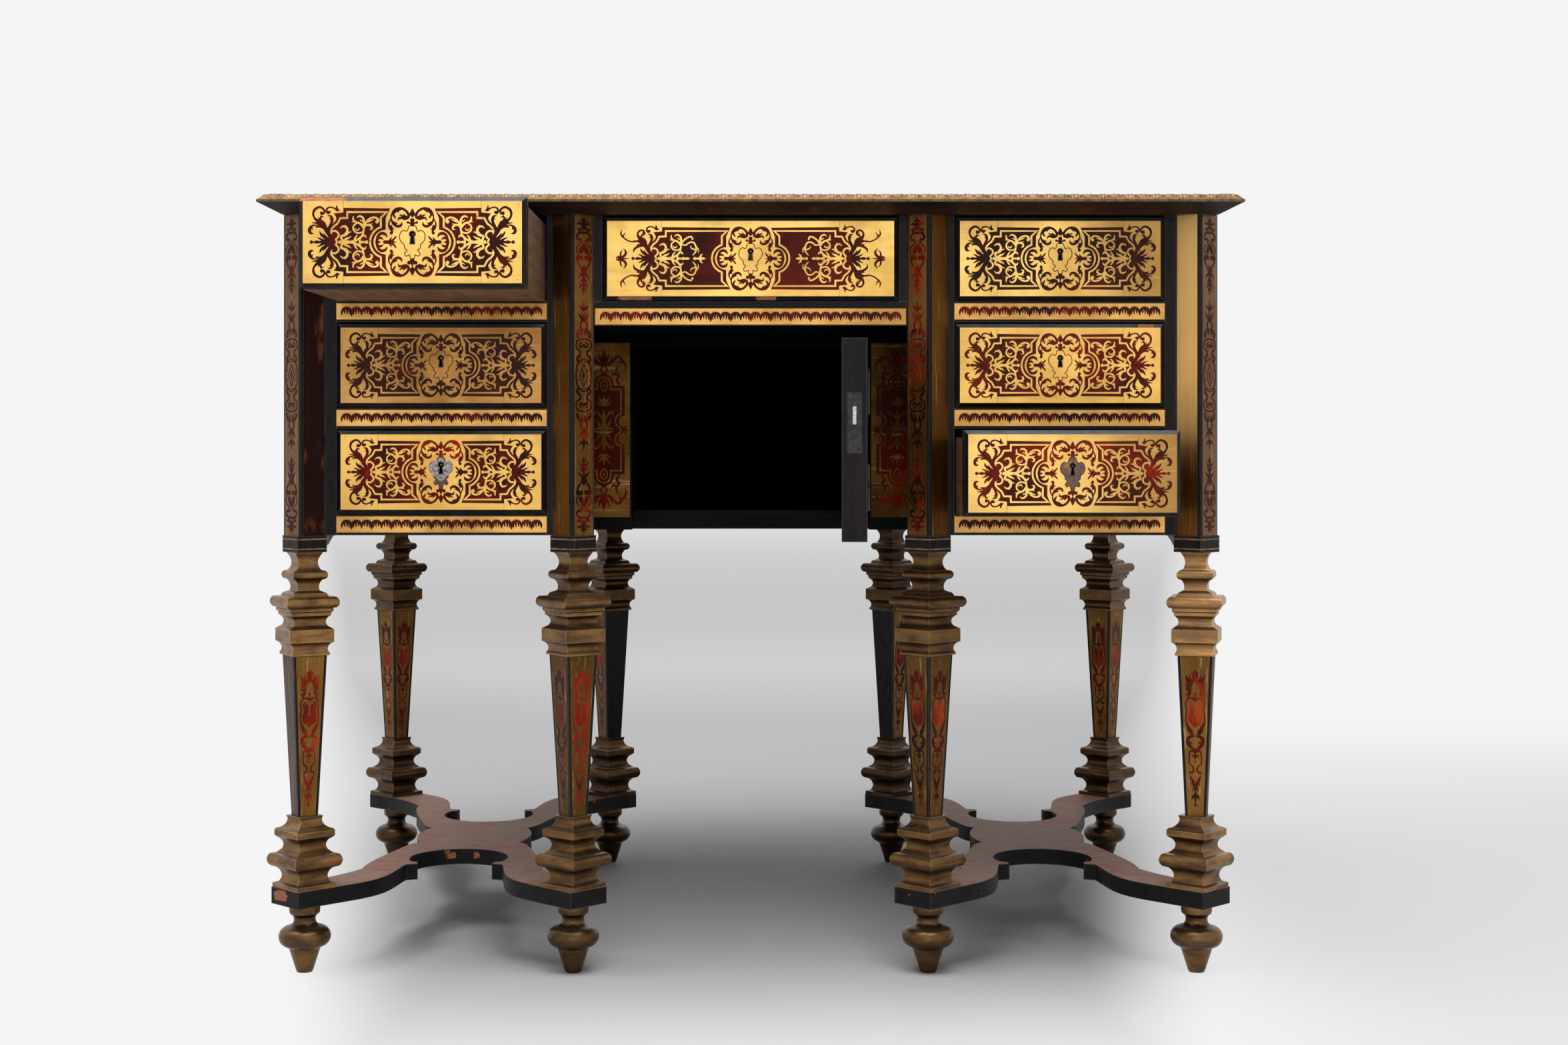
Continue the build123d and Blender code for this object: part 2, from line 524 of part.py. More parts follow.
# ------------------------------------------------------------------ drawers
def drawer(name, middle, width, z, out):
    """A drawer for an opening: its bevelled front, brass facing, box and lock."""
    face = Y_FACE - DRAWER_PROUD - out
    core = face + FACING_T
    back = core + FRONT_T
    half = width / 2 - FRONT_SIDE_GAP
    low, high = z + FRONT_LOW_GAP, z + OPENING_H - FRONT_TOP_GAP
    key_z = (low + high) / 2 + KEYHOLE_RISE
    key = Plane(origin=(middle, face, key_z), x_dir=(1, 0, 0), z_dir=(0, -1, 0))
    with BuildPart() as front:
        board(middle - half, middle + half, core, back, low, high)
        chamfer(front.faces().sort_by(Axis.Y)[0].edges(), length=FRONT_BEVEL)
        keyhole(key, -(FRONT_T + FACING_T))
    with BuildPart() as facing:
        board(middle - half + FRONT_BEVEL, middle + half - FRONT_BEVEL, face, core,
              low + FRONT_BEVEL, high - FRONT_BEVEL)
        keyhole(key, -FACING_T)
    with BuildPart() as lock:
        board(middle - DRAWER_LOCK_W / 2, middle + DRAWER_LOCK_W / 2, back, back + DRAWER_LOCK_T,
              (low + high) / 2 - DRAWER_LOCK_H / 2, (low + high) / 2 + DRAWER_LOCK_H / 2)
        with Locations(Plane(origin=(middle, back, key_z), z_dir=(0, -1, 0))):
            Cylinder(KEY_PIN_R, FRONT_T + FACING_T - KEY_PIN_BACK,
                     align=(Align.CENTER, Align.CENTER, Align.MIN))
    box_half = width / 2 - BOX_SIDE_GAP
    box_low = z + RUN_GAP
    with BuildPart() as box:
        for s in (-1, 1):
            board(middle + s * box_half, middle + s * (box_half - BOX_SIDE_T), back,
                  back + DRAWER_L, box_low, box_low + BOX_H)
        clear = box_half - BOX_SIDE_T - GLUE
        board(middle - clear, middle + clear, back, back + DRAWER_L,
              box_low, box_low + BOX_FLOOR_T)
        board(middle - clear, middle + clear, back + DRAWER_L - BOX_SIDE_T, back + DRAWER_L,
              box_low + BOX_FLOOR_T + GLUE, box_low + BOX_H)
    for piece, kind in ((front, "front"), (facing, "facing"), (lock, "lock"), (box, "box")):
        finish(piece, f"{name}_{kind}")


for side, s in (("left", -1), ("right", 1)):
    for level, z in zip(("bottom", "middle", "top"), LEVELS):
        out = {"left_top": PULL_LEFT_TOP, "right_bottom": PULL_RIGHT_BOTTOM}.get(f"{side}_{level}", 0)
        drawer(f"{side}_{level}", s * OPEN_MID, OPEN_W, z, out)
drawer("centre", 0, 2 * MID_OPEN_HALF, LEVELS[2], 0)

# ------------------------------------------------------------------ legs
# Outlines give the half width and the height, in each moulding's own stack.
upper_capital = square_turning(
    [(20.1, 0.6), (20.1, 2.6), (18.4, 8.0, 23.4, 14.0), (23.4, 27.0), (18.6, 30.0),
     (16.9, 35.5, 21.0, 41.0), (21.0, 44.0), (22.9, 45.5), (22.9, 49.0), (25.0, 49.0),
     (27.9, 54.5, 25.0, 60.0), (19.0, 60.5), (17.5, 63.5), (12.0, 66.0), (11.6, 72.0, 14.0, 77.0),
     (16.6, 78.0), (18.6, 82.0, 16.6, 86.0), (13.2, 87.0), (10.6, 95.0, 13.2, 102.5),
     (14.6, UPPER_CAPITAL_H)],
    (SHAFT_TOP_HALF, 0))
lower_capital = square_turning(
    [(23.6, 4.0), (19.0, 5.5), (16.8, 12.5, 21.0, 20.0), (25.2, 21.5), (27.8, 27.8, 25.2, 34.0),
     (21.0, 34.8), (17.0, 38.5), (15.7, 44.5, 20.0, 50.5), (22.1, 52.5), (22.1, 58.5), (20.3, 60.0),
     (15.0, 63.0, 12.6, LOWER_CAPITAL_H - 3), (13.6, LOWER_CAPITAL_H)],
    (23.6, 0))

with BuildPart() as peg_holes:
    for x, y, _ in LEGS:
        with Locations((x, y, Z_PLATE)):
            Cylinder(PEG_R + PEG_CLEAR, STRETCHER_T + PEG_IN_CAPITAL + PEG_CLEAR,
                     align=(Align.CENTER, Align.CENTER, Align.MIN))

with BuildPart() as leg_collars:
    for x, y, turns in LEGS:
        with Locations((x, y, Z_COLLAR + COLLAR_H / 2)):
            Box(COLLAR_SIDE, COLLAR_SIDE, COLLAR_H, rotation=(0, 0, 45 + turns[0]))
finish(leg_collars, "leg_collars")

with BuildPart() as upper_capitals:
    for x, y, turns in LEGS:
        with Locations((x, y, Z_UPPER)):
            add(upper_capital, rotation=(0, 0, 45 + turns[1]))
finish(upper_capitals, "upper_capitals")

with BuildPart() as leg_shafts:
    for x, y, turns in LEGS:
        for z, half in ((Z_SHAFT, SHAFT_FOOT_HALF), (Z_UPPER, SHAFT_TOP_HALF)):
            with BuildSketch(Plane((x, y, z))):
                Rectangle(2 * half, 2 * half, rotation=45 + turns[1])
        loft()
finish(leg_shafts, "leg_shafts")

with BuildPart() as lower_capitals:
    for x, y, turns in LEGS:
        with Locations((x, y, Z_LOWER)):
            add(lower_capital, rotation=(0, 0, 45 + turns[2]))
    add(peg_holes.part, mode=Mode.SUBTRACT)
finish(lower_capitals, "lower_capitals")

# A foot is turned: a tapering peg, a full bulb, a waist and a collar with the dowel on top.
with BuildPart() as foot:
    with BuildSketch(Plane.XZ):
        with BuildLine():
            end = outline((8.0, 0), (9.2, 3.0), (15.9, 24.0), (18.5, 26.0), (26.4, 36.5, 17.8, 46.4),
                          (14.6, 47.6), (11.0, 54.0, 13.2, 58.4), (15.2, 60.0),
                          (15.8, 64.5, 15.2, FOOT_H - 1.5), (14.0, FOOT_H))
            top = FOOT_H + STRETCHER_T + PEG_IN_CAPITAL
            Polyline(end, (PEG_R, FOOT_H), (PEG_R, top), (0, top), (0, 0), (8.0, 0))
        make_face()
    revolve(axis=Axis.Z)

with BuildPart() as feet:
    for x, y, _ in LEGS:
        with Locations((x, y, 0)):
            add(foot.part)
finish(feet, "feet")

# ------------------------------------------------------------------ stretchers
SPAN_U = (LEG_X_OUT - LEG_X_IN) / 2
STRETCHER_X = (LEG_X_OUT + LEG_X_IN) / 2
for s, name in ((-1, "left_stretcher"), (1, "right_stretcher")):
    with BuildPart() as stretcher:
        with BuildSketch(Plane((s * STRETCHER_X, DESK_Y, Z_PLATE))):
            with BuildLine():
                bay_mid = BAY_APEX + BAY_R
                mouth = math.radians(24)
                lip = (BAY_R * math.cos(mouth), bay_mid + BAY_R * math.sin(mouth))
                low = math.radians(-45)
                ThreePointArc((0, BAY_APEX),
                              (BAY_R * math.cos(low), bay_mid + BAY_R * math.sin(low)), lip)
                inner = (lip[0] + EAR / 3, lip[1] + 1.9 * EAR)
                Polyline(lip, (lip[0] - 0.8 * EAR, lip[1] + EAR / 3),
                         (lip[0] - EAR, lip[1] + 1.4 * EAR), inner)
                pad = (SPAN_U - PLATE_HALF + 9, LEG_Y + 9)
                Spline(inner, (SPAN_U - 2 * PLATE_HALF, LEG_Y - 1.2 * PLATE_HALF), pad,
                       tangents=((0.2, 1), (1, 1)))
                cusp = (SPAN_U - 1.25 * PLATE_HALF, LEG_Y - 2.8 * PLATE_HALF)
                Polyline(pad, (SPAN_U, LEG_Y + PLATE_HALF), (SPAN_U + PLATE_HALF, LEG_Y),
                         (SPAN_U + PLATE_HALF - 9, LEG_Y - 9))
                ThreePointArc((SPAN_U + PLATE_HALF - 9, LEG_Y - 9),
                              (SPAN_U - 0.62 * PLATE_HALF, LEG_Y - 1.68 * PLATE_HALF), cusp)
                notch = (HUB_HALF_W - 9, 0.54 * BAY_APEX)
                Spline(cusp, (cusp[0] - 6, 0.5 * LEG_Y), (HUB_HALF_W + 6, 0.9 * BAY_APEX), notch,
                       tangents=((0.05, -1), (-0.9, -0.7)))
                ThreePointArc(notch, (HUB_HALF_W - 2.5, notch[1] / 2), (HUB_HALF_W, 0))
                Polyline((HUB_HALF_W, 0), (0, 0), (0, BAY_APEX))
            make_face()
            mirror(about=Plane.YZ)
            mirror(about=Plane.XZ)
        extrude(amount=STRETCHER_T)
        add(peg_holes.part, mode=Mode.SUBTRACT)
    finish(stretcher, name)
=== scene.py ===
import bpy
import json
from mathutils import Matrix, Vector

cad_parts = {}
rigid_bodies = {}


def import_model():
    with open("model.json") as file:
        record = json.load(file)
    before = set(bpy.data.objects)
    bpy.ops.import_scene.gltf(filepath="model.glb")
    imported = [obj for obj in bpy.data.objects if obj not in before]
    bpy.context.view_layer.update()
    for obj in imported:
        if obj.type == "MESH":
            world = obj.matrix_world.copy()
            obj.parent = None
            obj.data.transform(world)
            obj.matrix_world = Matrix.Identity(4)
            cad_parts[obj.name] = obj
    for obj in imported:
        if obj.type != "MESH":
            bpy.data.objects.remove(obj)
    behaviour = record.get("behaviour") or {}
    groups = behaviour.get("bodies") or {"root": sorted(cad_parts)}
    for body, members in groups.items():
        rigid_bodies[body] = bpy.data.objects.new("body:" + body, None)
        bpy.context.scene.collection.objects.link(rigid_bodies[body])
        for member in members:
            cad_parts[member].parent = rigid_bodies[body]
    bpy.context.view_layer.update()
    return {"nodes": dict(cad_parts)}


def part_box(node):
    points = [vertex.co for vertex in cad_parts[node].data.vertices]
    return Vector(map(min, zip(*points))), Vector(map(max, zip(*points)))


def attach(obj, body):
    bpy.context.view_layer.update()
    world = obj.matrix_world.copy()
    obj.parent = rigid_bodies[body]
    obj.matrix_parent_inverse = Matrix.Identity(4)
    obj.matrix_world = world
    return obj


bl_info = {
    "name": "Bureau Mazarin",
    "version": (1, 0, 0),
    "blender": (4, 5, 0),
    "location": "3D View > Sidebar > Bureau",
    "description": "Dresses a kneehole writing desk in brass and shell marquetry, gilding and old ebony",
    "category": "Object",
}

import fnmatch
import functools
import json
import math

import bpy
from mathutils import Vector
from mathutils.geometry import tessellate_polygon

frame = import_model()
NODES = frame["nodes"]

# lengths in metres, unless a line says millimetres
MM = 0.001
UP, RIGHTWARD, BACKWARD = Vector((0, 0, 1)), Vector((1, 0, 0)), Vector((0, 1, 0))
DRAWERS = ("left_bottom", "left_middle", "left_top", "right_bottom", "right_middle", "right_top", "centre")
SIDES4 = ((1, 1), (-1, 1), (1, -1), (-1, -1))
SIDES2, ONE_SIDE = SIDES4[:2], SIDES4[:1]
LEG_X_IN, LEG_X_OUT = 0.181, 0.455
LEG_X_BETWEEN = 0.3
Y_FACE, Y_BACK = -0.222, 0.378
Z_CARCASE, CARCASE_H = 0.4449, 0.3261
RAIL_H, OPENING_H, MID_RAIL_H = 0.0213, 0.0874, 0.0247
STRIP_H = 0.0164
LEVELS = [Z_CARCASE + RAIL_H + k * (RAIL_H + OPENING_H) for k in range(3)]
OPEN_MID, OPEN_HALF, MID_STRIP_HALF = 0.3152, 0.1072, 0.1585
POST_HALF_SIDE, POST_SHIFT = 0.015, 0.0012
Z_UPPER, SHAFT_H = 0.3229, 0.1634
SHAFT_TOP_HALF, SHAFT_FOOT_HALF = 0.0176, 0.0105
# where each leg stands, and the turn of its shaft and of its collar, degrees
LEGS = ((-LEG_X_OUT, Y_FACE, -15.5, -7.0), (-LEG_X_IN, Y_FACE, -8.5, 8.0), (LEG_X_IN, Y_FACE, -2.6, 0.0),
        (LEG_X_OUT, Y_FACE, 29.0, 0.0), (-LEG_X_OUT, Y_BACK, 0.0, 0.0), (-LEG_X_IN, Y_BACK, -9.0, 0.0),
        (LEG_X_IN, Y_BACK, 0.0, 0.0), (LEG_X_OUT, Y_BACK, 6.5, 0.0))
COLLAR_HALF = 0.0165
FLANK_INNER_X = 0.1304
DOOR_SWING = math.radians(87.6)
SWING_COS, SWING_SIN = math.cos(DOOR_SWING), math.sin(DOOR_SWING)
DOOR_PIN = (0.1277, -0.0869)
DOOR_LOCAL = (-0.1272, 0.0039)  # middle of the door's face from the pin, door closed
DOOR_FACE_MIDDLE = (DOOR_PIN[0] + (DOOR_LOCAL[0] * SWING_COS - DOOR_LOCAL[1] * SWING_SIN),
                    DOOR_PIN[1] + (DOOR_LOCAL[0] * SWING_SIN + DOOR_LOCAL[1] * SWING_COS))
BOLT_END = (0.2545, 0.0164, 0.56615)  # from the pin: along the door, into it, and up
STROKE_GAIN = {"shell": 1.21, "brass": 0.98}  # how much fuller the strokes of a finish are cut
TILE_DEPTH = 0.25  # how deep each cut piece goes into its ground, mm
TILE_RISE = 0.01  # how much the lowest pieces stand above their ground, mm
TILE_STEP = 0.0003  # each piece stands this much above the pieces it is laid over, mm
IRON_RISE, GLUE_RISE = 0.5, 0.14  # how far an escutcheon and its bed stand above the facing, mm
BARE_RISE, CHIP_RISE = 0.15, 0.12  # the same for bare shaft faces and for chips of the stretcher
FINEST, POINTED = 0.1, 0.5  # the finest stroke, and the widest end that has no round cap, mm
EYE = (0.0, -2.535, 0.5456)
ROOM_WHITE = (0.913, 0.913, 0.918, 1.0)
FLOOR_Z = -0.0005
FLOOR_RINGS, FLOOR_SPOKES = (1.0, 2.0, 4.0, 9.0, 20.0), 48


def linear(r, g, b):
    """A colour written in the usual 0 to 255 steps, as the light it stands for."""
    return tuple((c / 255 / 12.92) if c <= 10 else ((c / 255 + 0.055) / 1.055) ** 2.4
                 for c in (r, g, b)) + (1.0,)


# ---------------------------------------------------------------- node wiring
class Wiring:
    """Adds nodes to a material or group, from constants and other nodes' sockets."""

    def __init__(self, tree):
        self.tree = tree

    def add(self, kind, settings=None, **inputs):
        made = self.tree.nodes.new("ShaderNode" + kind)
        for name, value in (settings or {}).items():
            setattr(made, name, value)
        for name, value in inputs.items():
            self.join(value, self.socket(made, name))
        return made

    def socket(self, made, name):
        if name[0] == "i" and name[1:].isdigit():
            return made.inputs[int(name[1:])]
        return next(s for s in made.inputs if s.name == name.replace("_", " ") and s.enabled)

    def join(self, value, socket):
        if isinstance(value, bpy.types.NodeSocket):
            self.tree.links.new(value, socket)
        else:
            socket.default_value = value

    def noise(self, vector, scale, detail=4, roughness=0.55, distortion=0):
        return self.add("TexNoise", Vector=vector, Scale=scale, Detail=detail,
                        Roughness=roughness, Distortion=distortion).outputs["Fac"]

    def stretched(self, vector, scale):
        return self.add("Mapping", Vector=vector, Scale=scale).outputs["Vector"]

    def multiplied(self, vector, factors):
        return self.add("VectorMath", {"operation": "MULTIPLY"}, i0=vector, i1=factors).outputs[0]

    def ramp(self, value, low, high, start=0, end=1):
        """Value remapped from low..high to start..end, smoothly."""
        return self.add("MapRange", {"interpolation_type": "SMOOTHSTEP"}, Value=value, From_Min=low,
                        From_Max=high, To_Min=start, To_Max=end).outputs["Result"]

    def sum(self, a, b, how="ADD", clamp=False):
        return self.add("Math", {"operation": how, "use_clamp": clamp}, i0=a, i1=b).outputs[0]

    def part(self, value, amount):
        return self.sum(value, amount, "MULTIPLY")

    def mix(self, factor, a, b):
        made = self.add("Mix", {"data_type": "RGBA", "blend_type": "MIX"})
        for value, socket in ((factor, made.inputs[0]), (a, made.inputs[6]), (b, made.inputs[7])):
            self.join(value, socket)
        return made.outputs[2]

    def coats(self, colour, *coats):
        """A colour with coats of others over it, each with the mask that says where it lies."""
        colour = linear(*colour) if isinstance(colour, tuple) else colour
        for mask, shade in coats:
            colour = self.mix(mask, colour, linear(*shade) if isinstance(shade, tuple) else shade)
        return colour

    def in_view(self):
        """1 for the eye, for reflections and for what is seen through glass."""
        path = self.add("LightPath").outputs
        seen = self.sum(path["Is Camera Ray"], path["Is Glossy Ray"], "MAXIMUM")
        return self.sum(seen, path["Is Transmission Ray"], "MAXIMUM")

    def along(self, vector, axis, low, high, start=0, end=1):
        """A change along one axis of the desk, or outward from its middle, from low to high in metres."""
        part = self.add("SeparateXYZ", Vector=vector).outputs["X" if axis == "out" else axis]
        if axis == "out":
            part = self.sum(part, 0, "ABSOLUTE")
        return self.ramp(part, low, high, start, end)

    def within(self, vector, *ranges):
        """The product of changes along several axes."""
        masks = [self.along(vector, *each) for each in ranges]
        return functools.reduce(self.part, masks)

    def bump(self, height, strength, distance):
        return self.add("Bump", Height=height, Strength=strength, Distance=distance).outputs["Normal"]

    def facing_up(self, which="True Normal"):
        return self.add("SeparateXYZ", Vector=self.add("NewGeometry").outputs[which]).outputs["Z"]

    def group(self, tree, **inputs):
        made = self.tree.nodes.new("ShaderNodeGroup")
        made.node_tree = tree
        for name, value in inputs.items():
            self.join(value, made.inputs[name.replace("_", " ")])
        return made.outputs


def new_group(name, inputs, outputs):
    """An empty shader group with these named inputs (kind, default) and float outputs."""
    tree = bpy.data.node_groups.new(name, "ShaderNodeTree")
    for label, default in {"Vector": None, **inputs}.items():
        kind = "Float" if isinstance(default, float) else "Vector"
        socket = tree.interface.new_socket(label, in_out="INPUT", socket_type="NodeSocket" + kind)
        if default is not None:
            socket.default_value = default
    for label in outputs:
        tree.interface.new_socket(label, in_out="OUTPUT", socket_type="NodeSocketFloat")
    given = tree.nodes.new("NodeGroupInput").outputs
    result = tree.nodes.new("NodeGroupOutput").inputs
    return tree, Wiring(tree), given, result


def patina_group():
    """Tarnish in soft blotches, with fine scratches that run along one direction."""
    tree, w, given, result = new_group(
        "Patina", {"Streak": (1.0, 1.0, 1.0), "Blotch Scale": 14.0, "Scratch Scale": 90.0},
        ("Tarnish", "Scratch", "Height"))
    along = w.multiplied(given["Vector"], given["Streak"])
    blotch = w.noise(given["Vector"], given["Blotch Scale"], 6, 0.62)
    fine = w.noise(along, given["Scratch Scale"], 5, 0.7)
    pits = w.noise(given["Vector"], 900, 2)
    w.join(w.ramp(w.sum(w.part(blotch, 0.72), w.part(fine, 0.28)), 0.36, 0.68), result["Tarnish"])
    w.join(w.ramp(fine, 0.55, 0.72), result["Scratch"])
    w.join(w.sum(w.part(fine, 0.8), w.part(pits, 0.2)), result["Height"])
    return tree


def wear_and_highlight_group():
    """Arrises broken up by noise: where a finish is rubbed away, and on the gilding a painted highlight."""
    tree, w, given, result = new_group(
        "Edge Wear And Highlight", {"Radius": 0.002, "Breakup Scale": 60.0, "Amount": 0.5}, ("Wear And Highlight",))
    rounded = w.add("Bevel", {"samples": 4}, Radius=given["Radius"]).outputs["Normal"]
    true = w.add("NewGeometry").outputs["True Normal"]
    edge = w.add("VectorMath", {"operation": "DOT_PRODUCT"}, i0=rounded, i1=true).outputs["Value"]
    broken = w.noise(given["Vector"], given["Breakup Scale"], 6, 0.7)
    level = w.sum(broken, w.sum(given["Amount"], 0.5, "SUBTRACT"))
    edge_mask = w.sum(w.ramp(edge, 0.999, 0.86), w.ramp(level, 0.4, 0.62), "MULTIPLY", True)
    w.join(edge_mask, result["Wear And Highlight"])
    return tree


def dust_and_shade_group():
    """A dusty coat on what faces up, which on ebony stands for a painted sheen; dirt and painted shade in
    hollows; painted shade on what faces down.
    """
    tree, w, given, result = new_group(
        "Dust And Sheen", {"Scale": 40.0, "Reach": 0.012, "Level": 0.15}, ("Dust And Sheen", "Dirt And Shade", "Underside Shade"))
    up = w.facing_up("Normal")
    patches = w.noise(given["Vector"], given["Scale"], 5, 0.6)
    flat = w.ramp(w.part(w.sum(up, given["Level"], "SUBTRACT"), 2.2), 0, 1)
    w.join(w.part(flat, w.ramp(patches, 0.2, 0.6, 0.45, 1)), result["Dust And Sheen"])
    # painted shade on what faces down
    w.join(w.ramp(up, -0.1, -0.8), result["Underside Shade"])
    # painted shade in hollows, partly dirt
    open_sky = w.add("AmbientOcclusion", {"samples": 8, "only_local": True},
                     Distance=given["Reach"]).outputs["AO"]
    w.join(w.ramp(open_sky, 0.95, 0.45), result["Dirt And Shade"])
    return tree


def grain_group():
    """Long wood fibres along X after the Stretch is applied, with darker pores."""
    tree, w, given, result = new_group(
        "Grain", {"Stretch": (1.0, 12.0, 12.0), "Scale": 12.0}, ("Figure", "Pores"))
    along = w.multiplied(given["Vector"], given["Stretch"])
    figure = w.noise(along, given["Scale"], 8, 0.6, 0.6)
    pores = w.noise(along, w.part(given["Scale"], 6), 3, 0.6)
    w.join(w.ramp(figure, 0.3, 0.7), result["Figure"])
    w.join(w.ramp(pores, 0.56, 0.66), result["Pores"])
    return tree


# ---------------------------------------------------------------- finishes, colours from 0 to 255
# brass: bright and dull colour, the way its scratches run, roughness and the scale of its blotches; then
# perhaps a second colour and where it lies, as changes along axes (from, to, and the amount at each end); the
# lines marked below carry painted light and shade
ACROSS, UPRIGHT = (0.12, 1.0, 3.0), (4.0, 4.0, 0.12)
BRASSES = {
    # painted shade: darker on the lower drawers
    "drawer_brass": ((238, 196, 108), (212, 168, 86), ACROSS, 0.36, 14, (194, 142, 66),
                     ("Z", 0.68, 0.64, 0, 0.3)),
    # a dimmer copy of the drawer brass: painted shade on the left middle drawer, with painted light towards its
    # left end
    "dim_brass": ((190, 140, 78), (152, 106, 54), ACROSS, 0.44, 14, (216, 170, 100),
                   ("X", -0.34, -0.41, 0, 0.5)),
    # painted shade that deepens towards the right end of the right-hand drawers
    "shaded_brass": ((240, 198, 112), (214, 170, 90), ACROSS, 0.36, 14, (152, 112, 62),
                     ("X", 0.29, 0.42, 0, 0.85)),
    "rail_brass": ((222, 172, 96), (176, 128, 68), (0.15, 1.0, 3.0), 0.4, 14),
    "post_brass": ((150, 108, 56), (100, 68, 32), UPRIGHT, 0.44, 9, (122, 90, 64), ("out", 0.25, 0.35)),
    # painted highlight: a bright patch on the upper front of the right-hand slips
    "slip_brass": ((124, 82, 36), (86, 54, 21), UPRIGHT, 0.42, 9, (248, 202, 126),
                   ("X", 0.25, 0.35), ("Z", 0.5, 0.58), ("Y", 0.1, 0)),
    # painted shade: darker on the inner legs
    "shaft_brass": ((134, 96, 48), (94, 64, 30), (4.0, 4.0, 0.2), 0.46, 14, (86, 60, 30),
                    ("out", 0.34, 0.24, 0, 0.5)),
    # a darkened copy of brass: painted shade in the recess and on its door
    "shadowed_recess_brass": ((112, 80, 34), (66, 43, 16), ACROSS, 0.5, 14),
    "end_brass": ((204, 158, 88), (160, 116, 62), (3.0, 0.12, 1.0), 0.44, 14),
    "top_brass": ((200, 158, 94), (152, 114, 68), ACROSS, 0.46, 9),
}
# shell: dark, red and bright colour, the clouds over which it turns from dark to red, and its gloss
SHELLS = {
    "drawer_shell": ((54, 20, 15), (118, 25, 13), (202, 40, 12), 0.4, 0.6),
    "brown_shell": ((58, 26, 16), (88, 35, 21), (124, 38, 20), 0.42, 0.62),
    "russet_shell": ((74, 26, 16), (122, 34, 19), (170, 44, 20), 0.38, 0.56),
    "fiery_shell": ((66, 22, 12), (134, 28, 12), (214, 50, 16), 0.42, 0.57),
    "rail_shell": ((56, 22, 17), (124, 30, 16), (196, 44, 18), 0.42, 0.62),
    "post_shell": ((48, 20, 13), (140, 34, 15), (206, 52, 20), 0.48, 0.6),
    "recess_shell": ((84, 24, 8), (140, 32, 12), (206, 46, 16), 0.42, 0.58, 0.05),
    "shaft_shell": ((54, 20, 11), (112, 29, 14), (192, 52, 20), 0.44, 0.6),
    "vivid_shell": ((92, 26, 13), (166, 44, 19), (212, 82, 30), 0.32, 0.54),
}
# two colours mixed by one noise: both colours, the noise (scale, detail, roughness) and its range, how
# far the noise is stretched, roughness, metal, and the relief (strength, distance)
SPECKLED = {
    "dark_line": ((58, 34, 24), (92, 56, 34), (200, 3), (0.3, 0.7), None, 0.6),
    "chipped_wood": ((216, 140, 98), (150, 88, 60), (120, 6, 0.7), (0.35, 0.65), (1, 6, 6), 0.75, 0,
                     (0.5, 0.0008)),
    "escutcheon_iron": ((196, 190, 188), (70, 58, 56), (420, 5, 0.7), (0.4, 0.62), None, 0.42, 0.7,
                        (0.6, 0.0008)),
    "gilt_line": ((196, 152, 98), (122, 86, 54), (90, 4), (0.3, 0.7), None, 0.5, 0.5),
    "black_iron": ((34, 33, 34), (66, 62, 60), (240, 5, 0.65), (0.35, 0.65), None, 0.55, 0.5,
                   (0.3, 0.0004)),
    "bright_iron": ((214, 212, 212), (150, 146, 144), (300, 5, 0.65), (0.35, 0.65), (1, 1, 5), 0.34, 0.8,
                    (0.2, 0.0003)),
}
# wood: stretch and scale of its fibres, the two colours of its figure, roughness, the relief (strength,
# distance), gloss, then coats over it: a mask, or how much of the pores it fills, and its colour
STANDING, LYING = (9, 9, 1), (1, 9, 9)
WOODS = {
    # painted shade: near-black for the inside of the cupboard
    "shadow_black": (STANDING, 8, (9, 8, 8), (17, 15, 14), 0.8, (0.2, 0.0005), 0.06),
    "walnut": ((10, 1, 14), 9, (86, 58, 46), (130, 90, 66), 0.55, (0.3, 0.0005), 0.5, 0.5, (40, 26, 20)),
    "grey_wood": ((16, 16, 1), 8, (86, 68, 60), (132, 110, 98), 0.7, (0.4, 0.0006)),
}
# painted light and shade over the gilding of the legs (a painted highlight on the upper right outer legs,
# painted shade on the inner legs, towards the floor and towards the back): colour, and where it lies
GILDING_LIGHT_AND_SHADE = (
    ((206, 160, 108), ("X", 0.38, 0.44, 0, 0.18), ("Z", 0.24, 0.32)),
    ((48, 33, 22), ("out", 0.34, 0.24, 0, 0.25)),
    ((52, 40, 30), ("Z", 0.10, 0.05, 0, 0.45)),
    ((34, 23, 15), ("Y", 0.1, 0.34, 0, 0.68)),
)


